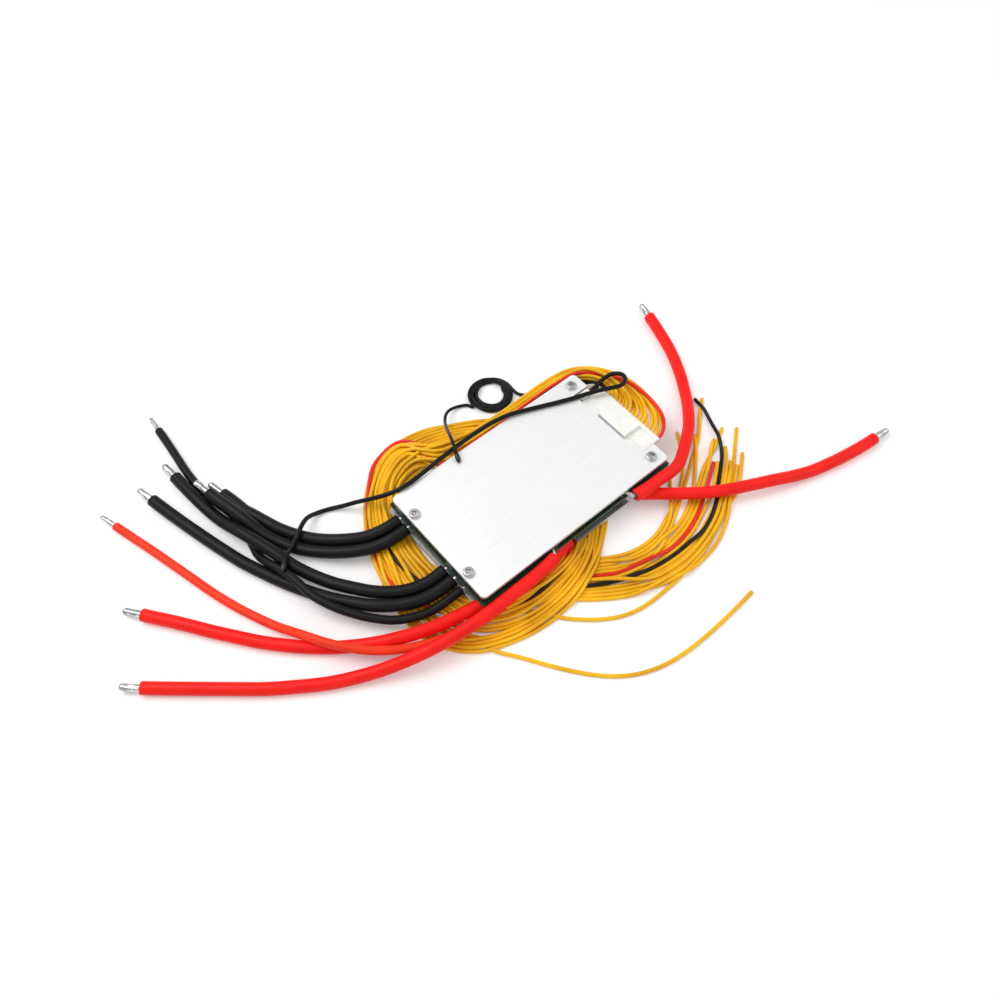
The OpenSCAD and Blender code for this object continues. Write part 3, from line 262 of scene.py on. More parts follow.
# Where each wire goes once it leaves the coil, from the inner wire to the outer one.
# Each row starts with the connector's way and the wire's colour.
FAN = (
    (3, "yellow", ((-0.026, -0.032), (-0.001, -0.0495), (0.0055, -0.054), (0.0175, -0.059),
        (0.0295, -0.0595), (0.0415, -0.056), (0.049, -0.0525), (0.0605, -0.048),
        (0.0705, -0.0395), (0.0795, -0.029), (0.085, -0.021))),
    (5, "yellow", ((-0.028, -0.034), (-0.005, -0.0515), (0.004, -0.057), (0.016, -0.0605),
        (0.0285, -0.0615), (0.04, -0.058), (0.049, -0.0515), (0.0565, -0.0445),
        (0.0605, -0.0385), (0.065, -0.034))),
    (4, "yellow", ((-0.025, -0.033), (-0.003, -0.051), (0.0055, -0.0585), (0.0175, -0.062),
        (0.0285, -0.0635), (0.0435, -0.0625), (0.0545, -0.0595), (0.065, -0.0525),
        (0.075, -0.0435), (0.0915, -0.029))),
    (2, "yellow", ((-0.03, -0.036), (-0.0065, -0.0525), (0.002, -0.059), (0.0105, -0.0635),
        (0.0235, -0.0655), (0.04, -0.0655), (0.054, -0.061), (0.0665, -0.053),
        (0.079, -0.047), (0.0965, -0.039), (0.106, -0.035))),
    (6, "yellow", ((-0.034, -0.038), (-0.009, -0.0535), (0, -0.0605), (0.0125, -0.0655),
        (0.027, -0.067), (0.041, -0.0665), (0.055, -0.0625), (0.068, -0.0545),
        (0.0845, -0.0445), (0.097, -0.038))),
    (16, "red", ((-0.036, -0.039), (-0.0105, -0.055), (-0.0025, -0.0605), (0.006, -0.064),
        (0.0165, -0.0665), (0.0265, -0.0685), (0.0365, -0.069), (0.0475, -0.066),
        (0.0555, -0.0635), (0.0615, -0.0605), (0.07, -0.0565), (0.0858, -0.0472))),
    (7, "yellow", ((-0.038, -0.041), (-0.0125, -0.0555), (-0.003, -0.0625), (0.0105, -0.0685),
        (0.024, -0.071), (0.0335, -0.0712), (0.0435, -0.0697), (0.055, -0.0657),
        (0.063, -0.0633), (0.073, -0.0587), (0.0883, -0.049))),
    (1, "yellow", ((-0.041, -0.042), (-0.0145, -0.056), (-0.004, -0.062), (0.0065, -0.0665),
        (0.019, -0.067), (0.028, -0.066), (0.038, -0.0615), (0.047, -0.0555),
        (0.0615, -0.048), (0.083, -0.036), (0.1015, -0.023), (0.1125, -0.014))),
    (0, "black", ((-0.04, -0.042), (-0.016, -0.0565), (-0.004, -0.064), (0.01, -0.07),
        (0.027, -0.072), (0.0345, -0.0733), (0.044, -0.0738), (0.0545, -0.072),
        (0.0625, -0.0683), (0.068, -0.066), (0.076, -0.0605), (0.0925, -0.0475),
        (0.099, -0.0395), (0.1047, -0.0255), (0.1092, -0.0115))),
    (8, "yellow", ((-0.037, -0.04), (-0.014, -0.0562), (-0.0035, -0.0632), (0.0085, -0.0692),
        (0.022, -0.0735), (0.037, -0.075), (0.052, -0.073), (0.066, -0.0675),
        (0.08, -0.0595), (0.088, -0.0535))),
    (9, "yellow", ((-0.042, -0.043), (-0.0175, -0.0572), (-0.0065, -0.065), (0.006, -0.0725),
        (0.02, -0.0755), (0.034, -0.0765), (0.048, -0.0745), (0.062, -0.07),
        (0.077, -0.0615), (0.0895, -0.054))),
    (10, "yellow", ((-0.033, -0.043), (-0.0087, -0.0594), (0.0057, -0.071), (0.015, -0.077),
        (0.03, -0.078), (0.041, -0.0766), (0.055, -0.073), (0.07, -0.066),
        (0.085, -0.056), (0.098, -0.0443))),
    (11, "yellow", ((-0.04, -0.037), (-0.0177, -0.0574), (-0.008, -0.0662), (0.0032, -0.0733),
        (0.0143, -0.0776), (0.026, -0.079), (0.036, -0.078), (0.044, -0.0767),
        (0.054, -0.0736), (0.0645, -0.07), (0.084, -0.066), (0.102, -0.053))),
    (12, "yellow", ((-0.042, -0.039), (-0.0196, -0.0595), (-0.01, -0.068), (0.0055, -0.077),
        (0.0177, -0.081), (0.0307, -0.083), (0.0437, -0.083), (0.059, -0.079),
        (0.0795, -0.0635), (0.099, -0.05), (0.112, -0.04))),
    (13, "yellow", ((-0.043, -0.042), (-0.0205, -0.0592), (-0.011, -0.069), (0.003, -0.0765),
        (0.018, -0.079), (0.032, -0.0805), (0.047, -0.0785), (0.063, -0.0735),
        (0.079, -0.064), (0.0925, -0.0532))),
    (14, "yellow", ((-0.0576, -0.038), (-0.0373, -0.06), (-0.0317, -0.066), (-0.0216, -0.0752),
        (-0.0087, -0.0816), (0.0026, -0.0833), (0.0113, -0.0826), (0.026, -0.0818),
        (0.043, -0.0795), (0.06, -0.0745), (0.078, -0.0655), (0.094, -0.0565))),
    (LOOSE_WAY, "yellow", (
        (-0.08, -0.036), (-0.0715, -0.051), *(point[:2] for point in ROUTES["loose_wire"]),
    )),
)

FLOOR_Z = CAD_BOX[0][2]

# ---- Sizes and colours ----


def colour(name, description, value):
    """A colour setting."""
    return FloatVectorProperty(
        name=name, description=description, default=value, size=3, subtype="COLOR", min=0, max=1
    )


def length(name, description, value):
    """A length setting, in metres."""
    return FloatProperty(name=name, description=description, default=value, unit="LENGTH", min=0)


class LeadSettings(bpy.types.PropertyGroup):
    """Sizes and colours of the power leads."""

    thick: length("Thick lead", "Outer diameter of the thick leads", 0.0064)
    thin: length("Thin lead", "Outer diameter of the thinner leads", 0.0044)
    thick_core: length("Thick core", "Diameter of the thick leads' conductor", 0.004)
    thin_core: length("Thin core", "Diameter of the thinner leads' conductor", 0.0026)
    tip: length("Tinned end", "Length of the tinned ends", 0.01)
    black: colour("Black", "Insulation of the black leads", (0.006, 0.006, 0.007))
    red: colour("Red", "Insulation of the red leads", (1, 0.012, 0.008))
    orange: colour("Orange", "Insulation of the orange lead", (0.95, 0.045, 0.012))


class HarnessSettings(bpy.types.PropertyGroup):
    """Sizes and colours of the balance harness."""

    wire: length("Wire", "Outer diameter of a balance wire", 0.002)
    core: length("Core", "Diameter of a balance wire's conductor", 0.0009)
    spacing: length("Spacing", "Distance between the points of a wire's route", 0.004)
    rounds: IntProperty(
        name="Settling rounds", description="Rounds in which the wires settle", default=160, min=0
    )
    yellow: colour("Yellow", "Insulation of the yellow wires", (1, 0.5, 0.01))
    red: colour("Red", "Insulation of the red wire", (0.85, 0.03, 0.015))
    black: colour("Black", "Insulation of the black wire", (0.006, 0.006, 0.006))


class SensorSettings(bpy.types.PropertyGroup):
    """Sizes of the temperature sensor cables."""

    first: length("First cable", "Outer diameter of the first cable", 0.0024)
    second: length("Second cable", "Outer diameter of the second cable", 0.0018)
    turns: IntProperty(name="Turns", description="Turns of the second cable's coil", default=6)
    sleeve: colour("Sleeve", "Insulation of the cables", (0.006, 0.006, 0.006))


class BoardSettings(bpy.types.PropertyGroup):
    """Colours of the plates, the board and the connectors."""

    edge: length("Edge radius", "Radius of the plates' broken edges", 0.00025)
    cover: colour("Cover", "The cover plate's brushed face", (0.95, 0.95, 0.955))
    plate: colour("Base plate", "The base plate's face", (0.6, 0.61, 0.63))
    mask: colour("Solder mask", "The board's solder mask", (0.003, 0.02, 0.011))
    laminate: colour("Laminate", "The board's cut edge", (0.12, 0.17, 0.09))
    nylon: colour("Nylon", "The connectors' moulded nylon", (0.94, 0.94, 0.92))
    steel: colour("Steel", "The screws and spacers", (0.6, 0.6, 0.61))
    tin: colour("Tin", "Solder and tinned metal", (0.7, 0.7, 0.71))
    moulding: colour("Moulding", "The chips' moulded bodies", (0.012, 0.012, 0.014))


class StageSettings(bpy.types.PropertyGroup):
    """Camera, lamps and floor."""

    lens: FloatProperty(name="Lens", description="Focal length", default=31.92, unit="CAMERA")
    ambient: FloatProperty(name="Ambient", description="Strength of the even light", default=0.62)
    key: FloatProperty(name="Key", description="Power of the large lamp", default=5.5, unit="POWER")
    floor: colour("Floor", "The pale floor", (0.9, 0.9, 0.9))
    glow: FloatProperty(
        name="Glow", description="Light that the floor adds for the camera", default=0.16
    )


# ---- Finishes ----


class Term:
    """A value or colour that varies over a surface. Operators on it add Math nodes."""

    def __init__(self, finish, socket):
        self.finish = finish
        self.socket = socket

    def maths(self, operation, *values):
        settings = {"operation": operation}
        return self.finish.node("ShaderNodeMath", settings, dict(enumerate(values)))

    def __add__(self, other):
        return self.maths("ADD", self, other)

    __radd__ = __add__

    def __sub__(self, other):
        return self.maths("SUBTRACT", self, other)

    def __rsub__(self, other):
        return self.maths("SUBTRACT", other, self)

    def __mul__(self, other):
        return self.maths("MULTIPLY", self, other)

    __rmul__ = __mul__

    def __truediv__(self, other):
        return self.maths("DIVIDE", self, other)

    def __mod__(self, other):
        return self.maths("FLOORED_MODULO", self, other)

    def __abs__(self):
        return self.maths("ABSOLUTE", self)

    def ramp(self, low, high):
        """0 below low, 1 above high, smooth between."""
        settings = {"interpolation_type": "SMOOTHSTEP"}
        values = {"Value": self, "From Min": low, "From Max": high}
        return self.finish.node("ShaderNodeMapRange", settings, values)


class Finish:
    """A material, its shader and its nodes."""

    def __init__(self, name, **constants):
        self.material = bpy.data.materials.new(name)
        self.material.use_nodes = True
        self.tree = self.material.node_tree
        self.shader = self.tree.nodes["Principled BSDF"]
        for socket, value in constants.items():
            self.set(socket.replace("_", " "), value)

    def set(self, socket, value):
        """Sets a socket of the shader, or feeds it."""
        self.put(self.shader.inputs[socket], value)

    def put(self, socket, value):
        if isinstance(value, Term):
            self.tree.links.new(value.socket, socket)
        elif hasattr(socket.default_value, "__len__") and len(socket.default_value) == 4:
            socket.default_value = (*tuple(value)[:3], 1)
        else:
            socket.default_value = value

    def node(self, kind, settings=None, values=None, output=0):
        """A node of a type, with its settings and the values or links of its sockets."""
        made = self.tree.nodes.new(kind)
        for name, value in (settings or {}).items():
            setattr(made, name, value)
        for name, value in (values or {}).items():
            self.put(made.inputs[name], value)
        return Term(self, made.outputs[output])

    def mix(self, amount, first, second):
        """One colour over another."""
        settings = {"data_type": "RGBA", "blend_type": "MIX"}
        return self.node("ShaderNodeMix", settings, {0: amount, 6: first, 7: second}, 2)

    def place(self, scale=(1, 1, 1), turn=0):
        """The surface's own coordinates, stretched."""
        here = self.node("ShaderNodeTexCoord", output=3)
        values = {"Vector": here, "Scale": scale, "Rotation": (0, 0, turn)}
        return self.node("ShaderNodeMapping", None, values)

    def noise(self, scale, detail=3, where=None, rough=0.5):
        """Cloudy grain, from 0 to 1."""
        values = {
            "Vector": where or self.place(), "Scale": scale, "Detail": detail, "Roughness": rough
        }
        return self.node("ShaderNodeTexNoise", None, values)

    def axis(self, which, where=None):
        """One coordinate of a place."""
        parts = {"Vector": where or self.place()}
        return self.node("ShaderNodeSeparateXYZ", None, parts, which)

    def bump(self, height, strength, distance):
        """Raises the surface where height is large."""
        values = {"Height": height, "Strength": strength, "Distance": distance}
        self.set("Normal", self.node("ShaderNodeBump", None, values))


def lighter(value, factor):
    """A colour, made lighter or darker."""
    return tuple(min(1, part * factor) for part in tuple(value)[:3])


def silicone(name, value, rough=0.42):
    """Soft extruded insulation: satin, with dust, faint drawing lines and scuffs."""
    finish = Finish(name, Roughness=rough, IOR=1.43)
    cloud = finish.noise(60, 4)
    dust = finish.noise(1400, 3).ramp(0.56, 0.74)
    finish.set("Specular IOR Level", 0.25)
    shade = finish.mix(cloud.ramp(0.3, 0.7), lighter(value, 0.86), lighter(value, 1.1))
    pale = tuple(min(1, part * 0.9 + 0.035) for part in tuple(value)[:3])
    finish.set("Base Color", finish.mix(dust * 0.22, shade, pale))
    scuff = finish.noise(240, 5)
    finish.set("Roughness", rough - 0.08 + scuff * 0.16)
    finish.bump(finish.noise(900, 4) * 0.5 + scuff, 0.12, 0.0004)
    return finish.material


def vinyl(name, value):
    """Thin glossy insulation of a balance wire."""
    finish = Finish(name, Roughness=0.3, IOR=1.5)
    cloud = finish.noise(45, 4)
    finish.set("Specular IOR Level", 0.3)
    shade = finish.mix(cloud.ramp(0.32, 0.68), lighter(value, 0.8), lighter(value, 1.12))
    speck = finish.noise(1900, 2).ramp(0.66, 0.75)
    finish.set("Base Color", finish.mix(speck * 0.35, shade, lighter(value, 0.55)))
    finish.set("Roughness", 0.24 + finish.noise(300, 4) * 0.16)
    finish.bump(finish.noise(700, 3), 0.08, 0.0003)
    return finish.material


def tinned(name, value, rough=0.24):
    """Solder: bright, uneven, with dull skin in places."""
    finish = Finish(name, Metallic=1, Roughness=rough)
    skin = finish.noise(380, 5)
    dull = finish.noise(1200, 4).ramp(0.45, 0.75)
    shade = finish.mix(skin.ramp(0.35, 0.7), lighter(value, 0.6), lighter(value, 1.15))
    finish.set("Base Color", finish.mix(dull * 0.5, shade, lighter(value, 0.42)))
    finish.set("Roughness", rough - 0.08 + dull * 0.3)
    finish.bump(skin * 0.7 + finish.noise(1700, 3) * 0.3, 0.5, 0.0006)
    return finish.material


def turned_steel(name, value):
    """Zinc-plated steel with fine turning lines."""
    finish = Finish(name, Metallic=1, Roughness=0.26)
    grain = finish.noise(1500, 4)
    stain = finish.noise(420, 4).ramp(0.4, 0.75)
    shade = finish.mix(grain, lighter(value, 0.75), lighter(value, 1.15))
    finish.set("Base Color", finish.mix(stain * 0.4, shade, lighter(value, 0.5)))
    finish.set("Roughness", 0.2 + grain * 0.2)
    finish.bump(grain, 0.15, 0.0002)
    return finish.material


def brushed(name, value, metal, rough, edge):
    """A sheet with fine brushing along its length; its upright sides get painted light, the colour
    times edge: painted shade on the cover's sides, painted highlight on the base plate's sides.
    """
    finish = Finish(name, Metallic=metal, Roughness=rough)
    lines = finish.noise(1, 5, finish.place((60, 2600, 2600)), 0.65)
    wide = finish.noise(1, 4, finish.place((14, 420, 420)))
    cloud = finish.noise(38, 4)
    shade = finish.mix(lines.ramp(0.25, 0.75), lighter(value, 0.93), lighter(value, 1.04))
    shade = finish.mix(wide.ramp(0.5, 0.8) * 0.35, shade, lighter(value, 0.9))
    # Painted light: faces that stand upright take the colour times edge, painted shade where edge
    # is below 1 and a painted highlight where it is above 1.
    facing = finish.node("ShaderNodeNewGeometry", output=3)
    side = 1 - abs(finish.axis(2, facing)).ramp(0.3, 0.8)
    finish.set("Base Color", finish.mix(side * 0.7, shade, lighter(value, edge)))
    finish.set("Roughness", rough - 0.07 + lines * 0.1 + cloud * 0.08)
    finish.bump(lines * 0.7 + wide * 0.3, 0.1, 0.0002)
    return finish.material


def laminate(name, mask, core, tin):
    """The circuit board: solder mask over tracks, tinned pads, and a cut glass-fibre edge."""
    finish = Finish(name, Roughness=0.32)
    here = finish.place()
    tracks = finish.noise(1, 0, finish.place((150, 420, 1)))
    raised = abs((tracks * 9) % 1 - 0.5).ramp(0.16, 0.24)
    weave = finish.noise(1600, 2)
    shade = finish.mix(raised, lighter(mask, 0.8), lighter(mask, 1.7))
    shade = finish.mix(weave * 0.3, shade, lighter(mask, 1.3))
    facing = finish.node("ShaderNodeNewGeometry", output=3)
    side = 1 - abs(finish.axis(2, facing)).ramp(0.4, 0.6)
    height = finish.axis(2, here)
    middle = 1 - abs((height + 0.0004) / 0.0008).ramp(0.35, 0.75)
    fibre = finish.noise(1, 4, finish.place((260, 260, 5200)))
    cut = finish.mix(fibre, lighter(core, 0.6), lighter(core, 1.7))
    cut = finish.mix(middle, lighter(mask, 0.7), cut)
    finish.set("Base Color", finish.mix(side, shade, cut))
    finish.set("Roughness", 0.28 + side * 0.35)
    finish.bump(raised * (1 - side), 0.25, 0.0002)
    return finish.material


def nylon(name, value):
    """Moulded nylon: slightly cloudy, with a satin face."""
    finish = Finish(name, Roughness=0.38, IOR=1.53)
    cloud = finish.noise(160, 4)
    warm = (value[0], value[1] * 0.985, value[2] * 0.93)
    finish.set("Base Color", finish.mix(cloud.ramp(0.3, 0.7), lighter(warm, 0.93), value))
    finish.set("Roughness", 0.32 + finish.noise(900, 4) * 0.16)
    finish.bump(finish.noise(2600, 3) * 0.6 + cloud * 0.4, 0.08, 0.0002)
    return finish.material


def moulded(name, value, rough=0.5):
    """Moulded epoxy with a fine matt grain."""
    finish = Finish(name, Roughness=rough)
    grain = finish.noise(2600, 4)
    cloud = finish.noise(300, 3)
    amount = grain * 0.6 + cloud * 0.4
    finish.set("Base Color", finish.mix(amount, lighter(value, 0.7), lighter(value, 1.6)))
    finish.set("Roughness", rough - 0.1 + grain * 0.22)
    finish.bump(grain, 0.2, 0.0002)
    return finish.material


MATERIALS = {}


def kept(name, make, *values):
    """A finish, made once."""
    if name not in MATERIALS:
        MATERIALS[name] = make(name, *values)
    return MATERIALS[name]


# ---- Lines and tubes ----


def curve_through(points, spacing):
    """A smooth line through the points, with its own points an even distance apart."""
    given = np.asarray(points, float)
    ends = np.vstack((2 * given[0] - given[1], given, 2 * given[-1] - given[-2]))
    fine = []
    for i in range(1, len(ends) - 2):
        before, here, there, after = ends[i - 1 : i + 3]
        steps = max(2, int(np.linalg.norm(there - here) / spacing * 4) + 1)
        t = np.linspace(0, 1, steps, endpoint=False)[:, None]
        fine.append(
            0.5 * (
                2 * here + (there - before) * t
                + (2 * before - 5 * here + 4 * there - after) * t**2
                + (3 * here - 3 * there + after - before) * t**3
            )
        )
    fine = np.vstack((*fine, ends[-2:-1]))
    return even(fine, spacing)


def even(line, spacing):
    """The same line, with points an even distance apart."""
    gone = np.concatenate(([0], np.cumsum(np.linalg.norm(np.diff(line, axis=0), axis=1))))
    count = max(2, int(round(gone[-1] / spacing)) + 1)
    at = np.linspace(0, gone[-1], count)
    return np.column_stack([np.interp(at, gone, line[:, k]) for k in range(3)])


def frames_along(line):
    """Heading and the two sides at each point, carried along without twist."""
    heading = np.gradient(line, axis=0)
    heading /= np.linalg.norm(heading, axis=1)[:, None]
    side = np.cross(heading[0], (0, 0, 1.0))
    sides = []
    for way in heading:
        side = side - way * side.dot(way)
        side /= np.linalg.norm(side)
        sides.append(side)
    sides = np.array(sides)
    return heading, sides, np.cross(sides, heading)


def add_piece(name, points, faces, materials, which=None, smooth=True):
    """A mesh object in the scene, riding on the body."""
    mesh = bpy.data.meshes.new(name)
    mesh.from_pydata([tuple(map(float, p)) for p in points], [], faces)
    for material in materials:
        mesh.materials.append(material)
    if which is not None:
        mesh.polygons.foreach_set("material_index", which)
    mesh.polygons.foreach_set("use_smooth", [smooth] * len(faces))
    mesh.update()
    piece = bpy.data.objects.new(name, mesh)
    bpy.context.scene.collection.objects.link(piece)
    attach(piece, "root")
    return piece


def rings_to_faces(rings, sides, start=0):
    """Walls between rings of points."""
    faces = []
    for i in range(rings - 1):
        for k in range(sides):
            n = (k + 1) % sides
            a = start + i * sides
            faces.append((a + k, a + n, a + sides + n, a + sides + k))
    return faces


def cable(name, line, radius, core, sides, materials):
    """A round cable with clean cut ends that show its conductor."""
    heading, side, up = frames_along(line)
    angle = np.linspace(0, 2 * math.pi, sides, endpoint=False)
    circle = np.cos(angle)[:, None, None] * side + np.sin(angle)[:, None, None] * up
    circle = circle.transpose(1, 0, 2)
    chip = min(radius * 0.12, 0.0002)
    rows = [
        (0, 0.0006, core * 0.5), (0, 0.0006, core), (0, 0, core), (0, 0, radius - chip),
        (0, chip, radius),
    ]
    rows += [(i, 0, radius) for i in range(1, len(line) - 1)]
    rows += [
        (-1, -chip, radius), (-1, 0, radius - chip), (-1, 0, core), (-1, -0.0006, core),
        (-1, -0.0006, core * 0.5),
    ]
    points = np.vstack([line[i] + heading[i] * along + circle[i] * r for i, along, r in rows])
    faces = rings_to_faces(len(rows), sides)
    last = (len(rows) - 1) * sides
    faces.append(tuple(range(sides - 1, -1, -1)))
    faces.append(tuple(range(last, last + sides)))
    which = [0] * len(faces)
    if len(materials) > 1:
        for k in range(sides):
            which[k] = which[-3 - k] = 1
        which[-1] = which[-2] = 1
    return add_piece(name, points, faces, materials, which)


# ---- Camera ----


class BOARD_OT_camera(bpy.types.Operator):
    """Adds the camera that looks down on the board from the side of the red leads"""

    bl_idname = "board.camera"
    bl_label = "Camera"

    def execute(self, context):
        stage = context.scene.board_stage
        data = bpy.data.cameras.new("Camera")
        data.lens = stage.lens
        data.sensor_width = 36
        data.clip_start = 0.01
        camera = bpy.data.objects.new("Camera", data)
        turn = (
            Matrix.Rotation(math.radians(-40.832), 4, "Z")
            @ Matrix.Rotation(math.radians(31.504), 4, "X")
            @ Matrix.Rotation(math.radians(0.526), 4, "Z")
        )
        camera.matrix_world = Matrix.Translation((-0.17248, -0.17283, 0.37925)) @ turn
        context.scene.collection.objects.link(camera)
        context.scene.camera = camera
        return {"FINISHED"}


# ---- Power leads ----

LEADS = (
    ("black_lead_1", "black", True), ("black_lead_2", "black", True),
    ("black_lead_3", "black", True), ("black_lead_4", "black", True),
    ("thin_black_lead", "black", False), ("red_lead_1", "red", True),
    ("red_lead_2", "red", True), ("red_lead_3", "red", True),
    ("red_lead_4", "red", True), ("orange_lead", "orange", False),
)


def tinned_end(name, at, heading, radius, reach, seed):
    """Dipped strands: ridged, lumpy and rounded off, a little bent."""
    rng = random.Random(seed)
    sides, rings = 28, 16
    ridges = rng.choice((5, 6, 7))
    lean = Vector((rng.uniform(-1, 1), rng.uniform(-1, 1), 0)) * 0.0005
    lumps = [(rng.uniform(0, 1), rng.uniform(0, 6.28), rng.uniform(0.05, 0.14)) for _ in range(7)]
    line = [Vector(at) + Vector(heading) * reach * (i / (rings - 1)) for i in range(-2, rings)]
    line = [p + lean * max(0, i - 2) ** 2 / rings**2 for i, p in enumerate(line)]
    line = np.array([tuple(p) for p in line])
    _, side, up = frames_along(line)
    points = []
    for i, centre in enumerate(line):
        s = max(0, i - 2) / (rings - 1)
        closing = math.sqrt(max(0, 1 - max(0, (s - 0.84) / 0.19) ** 2))
        for k in range(sides):
            a = 2 * math.pi * k / sides
            ridge = 0.07 * abs(math.sin(ridges * a / 2 + s * 2.2))
            lump = sum(
                high * math.exp(-((s - where) / 0.16) ** 2) * max(0, math.cos(a - turn)) ** 3
                for where, turn, high in lumps
            )
            r = radius * (0.93 - ridge + lump) * closing
            points.append(centre + (side[i] * math.cos(a) + up[i] * math.sin(a)) * r)
    faces = rings_to_faces(len(line), sides)
    last = (len(line) - 1) * sides
    faces.append(tuple(range(sides - 1, -1, -1)))
    faces.append(tuple(range(last, last + sides)))
    tin = kept("solder", tinned, bpy.context.scene.board_board.tin)
    piece = add_piece(name, points, faces, [tin])
    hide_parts("tinned_ends")
    return piece


class BOARD_OT_power_leads(bpy.types.Operator):
    """Adds the ten power leads, each with its tinned end"""

    bl_idname = "board.power_leads"
    bl_label = "Power leads"

    def execute(self, context):
        leads = context.scene.board_leads
        tin = kept("solder", tinned, context.scene.board_board.tin)
        for count, (name, shade, thick) in enumerate(LEADS):
            route = ROUTES[name]
            across = leads.thick if thick else leads.thin
            core = (leads.thick_core if thick else leads.thin_core) / 2
            line = curve_through(route, 0.0016)
            insulation = kept("silicone_" + shade, silicone, getattr(leads, shade))
            piece = cable("lead_" + name, line, across / 2, core, 40, [insulation, tin])
            heading = line[-1] - line[-2]
            heading = heading / np.linalg.norm(heading)
            end = tinned_end("end_" + name, line[-1], heading, core, leads.tip, 40 + count)
            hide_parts(name)
        return {"FINISHED"}


# ---- Sensor cables ----


def bead(name, route, radius):
    """A dipped sensor bead: a smooth drop with a short neck."""
    at, before = Vector(route[-1]), Vector(route[-2])
    heading = (at - before).normalized()
    sides, points = 24, []
    profile = (
        (-0.0006, 0.0009), (0, 0.00105), (0.0006, 0.00122), (0.0014, 0.0013), (0.0024, 0.0013),
        (0.0031, 0.00122), (0.0036, 0.00102), (0.004, 0.0007), (0.00425, 0.0003),
    )
    line = np.array([tuple(at + heading * along) for along, _ in profile])
    _, side, up = frames_along(line)
    for i, (_, wide) in enumerate(profile):
        for k in range(sides):
            a = 2 * math.pi * k / sides
            points.append(line[i] + (side[i] * math.cos(a) + up[i] * math.sin(a)) * wide)
    faces = rings_to_faces(len(profile), sides)
    last = (len(profile) - 1) * sides
    faces += [tuple(range(sides - 1, -1, -1)), tuple(range(last, last + sides))]
    piece = add_piece(name, points, faces, [kept("bead", moulded, (0.01, 0.01, 0.011), 0.22)])
    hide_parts("sensor_beads")
    return piece


def coiled_sensor_route(turns):
    """The second sensor's cable: to its coil, round it, and on over the harness."""
    rng = random.Random(5)
    middle = Vector((0.0244, 0.0636, FLOOR_Z))
    start = Vector(ROUTES["sensor_b"][-1]) - middle
    leave = Vector(ROUTES["sensor_b_tail"][0]) - middle
    first = math.atan2(start.y, start.x)
    last = math.atan2(leave.y, leave.x)
    whole = turns * 2 * math.pi + (last - first) % (2 * math.pi)
    steps = turns * 18
    points = []
    for i in range(1, steps):
        s = i / steps
        a = first + whole * s
        loop = int(s * turns)
        wander = 0.0009 * math.sin(a * 0.61 + 1) + rng.uniform(-0.00012, 0.00012)
        r = 0.0093 + wander + (0.0012 if loop % 2 else -0.0006)
        z = 0.001 + 0.0016 * s + 0.0004 * math.sin(a * 1.7)
        blend = min(1, i / 6, (steps - i) / 6)
        edge = start.xy.length if i < steps / 2 else leave.xy.length
        r = edge * (1 - blend) + r * blend
        points.append((middle.x + r * math.cos(a), middle.y + r * math.sin(a), middle.z + z))
    return ROUTES["sensor_b"] + tuple(points) + ROUTES["sensor_b_tail"]


class BOARD_OT_sensor_cables(bpy.types.Operator):
    """Adds the two temperature sensor cables with their beads"""

    bl_idname = "board.sensor_cables"
    bl_label = "Sensor cables"

    def execute(self, context):
        sensors = context.scene.board_sensors
        sleeve = kept("sensor_sleeve", silicone, sensors.sleeve, 0.34)
        routes = (
            ("sensor_first", ROUTES["sensor_a"], sensors.first, ["sensor_cable_a"], "loose"),
            (
                "sensor_second", coiled_sensor_route(sensors.turns), sensors.second,
                ["sensor_cable_b", "sensor_coil_b", "sensor_tail_b"], "coiled",
            ),
        )
        for name, route, across, stands_for, lay in routes:
            line = curve_through(route, 0.001)
            piece = cable(name, line, across / 2, across * 0.2, 16, [sleeve])
            drop = bead(name + "_bead", route, across / 2)
            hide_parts(*stands_for)
        return {"FINISHED"}


# ---- Balance harness ----

WAYS = 17
PITCH = 0.0025
PLUG = (0.0653, -0.0023, 0.0022)
IN_PLUG = 0.0035
STRAIGHT_OUT = 0.0025
SPREAD = 7
UPPER_PASS = 0.0036
UPPER_STEP = 0.0017
LOWER_STEP = 0.0019
FAN_STEP = 0.0011
REST = 0.001


def between(pair, share):
    """A point between an inner and an outer edge."""
    inner, outer = np.array(pair[0]), np.array(pair[1])
    return inner * (1 - share) + outer * share


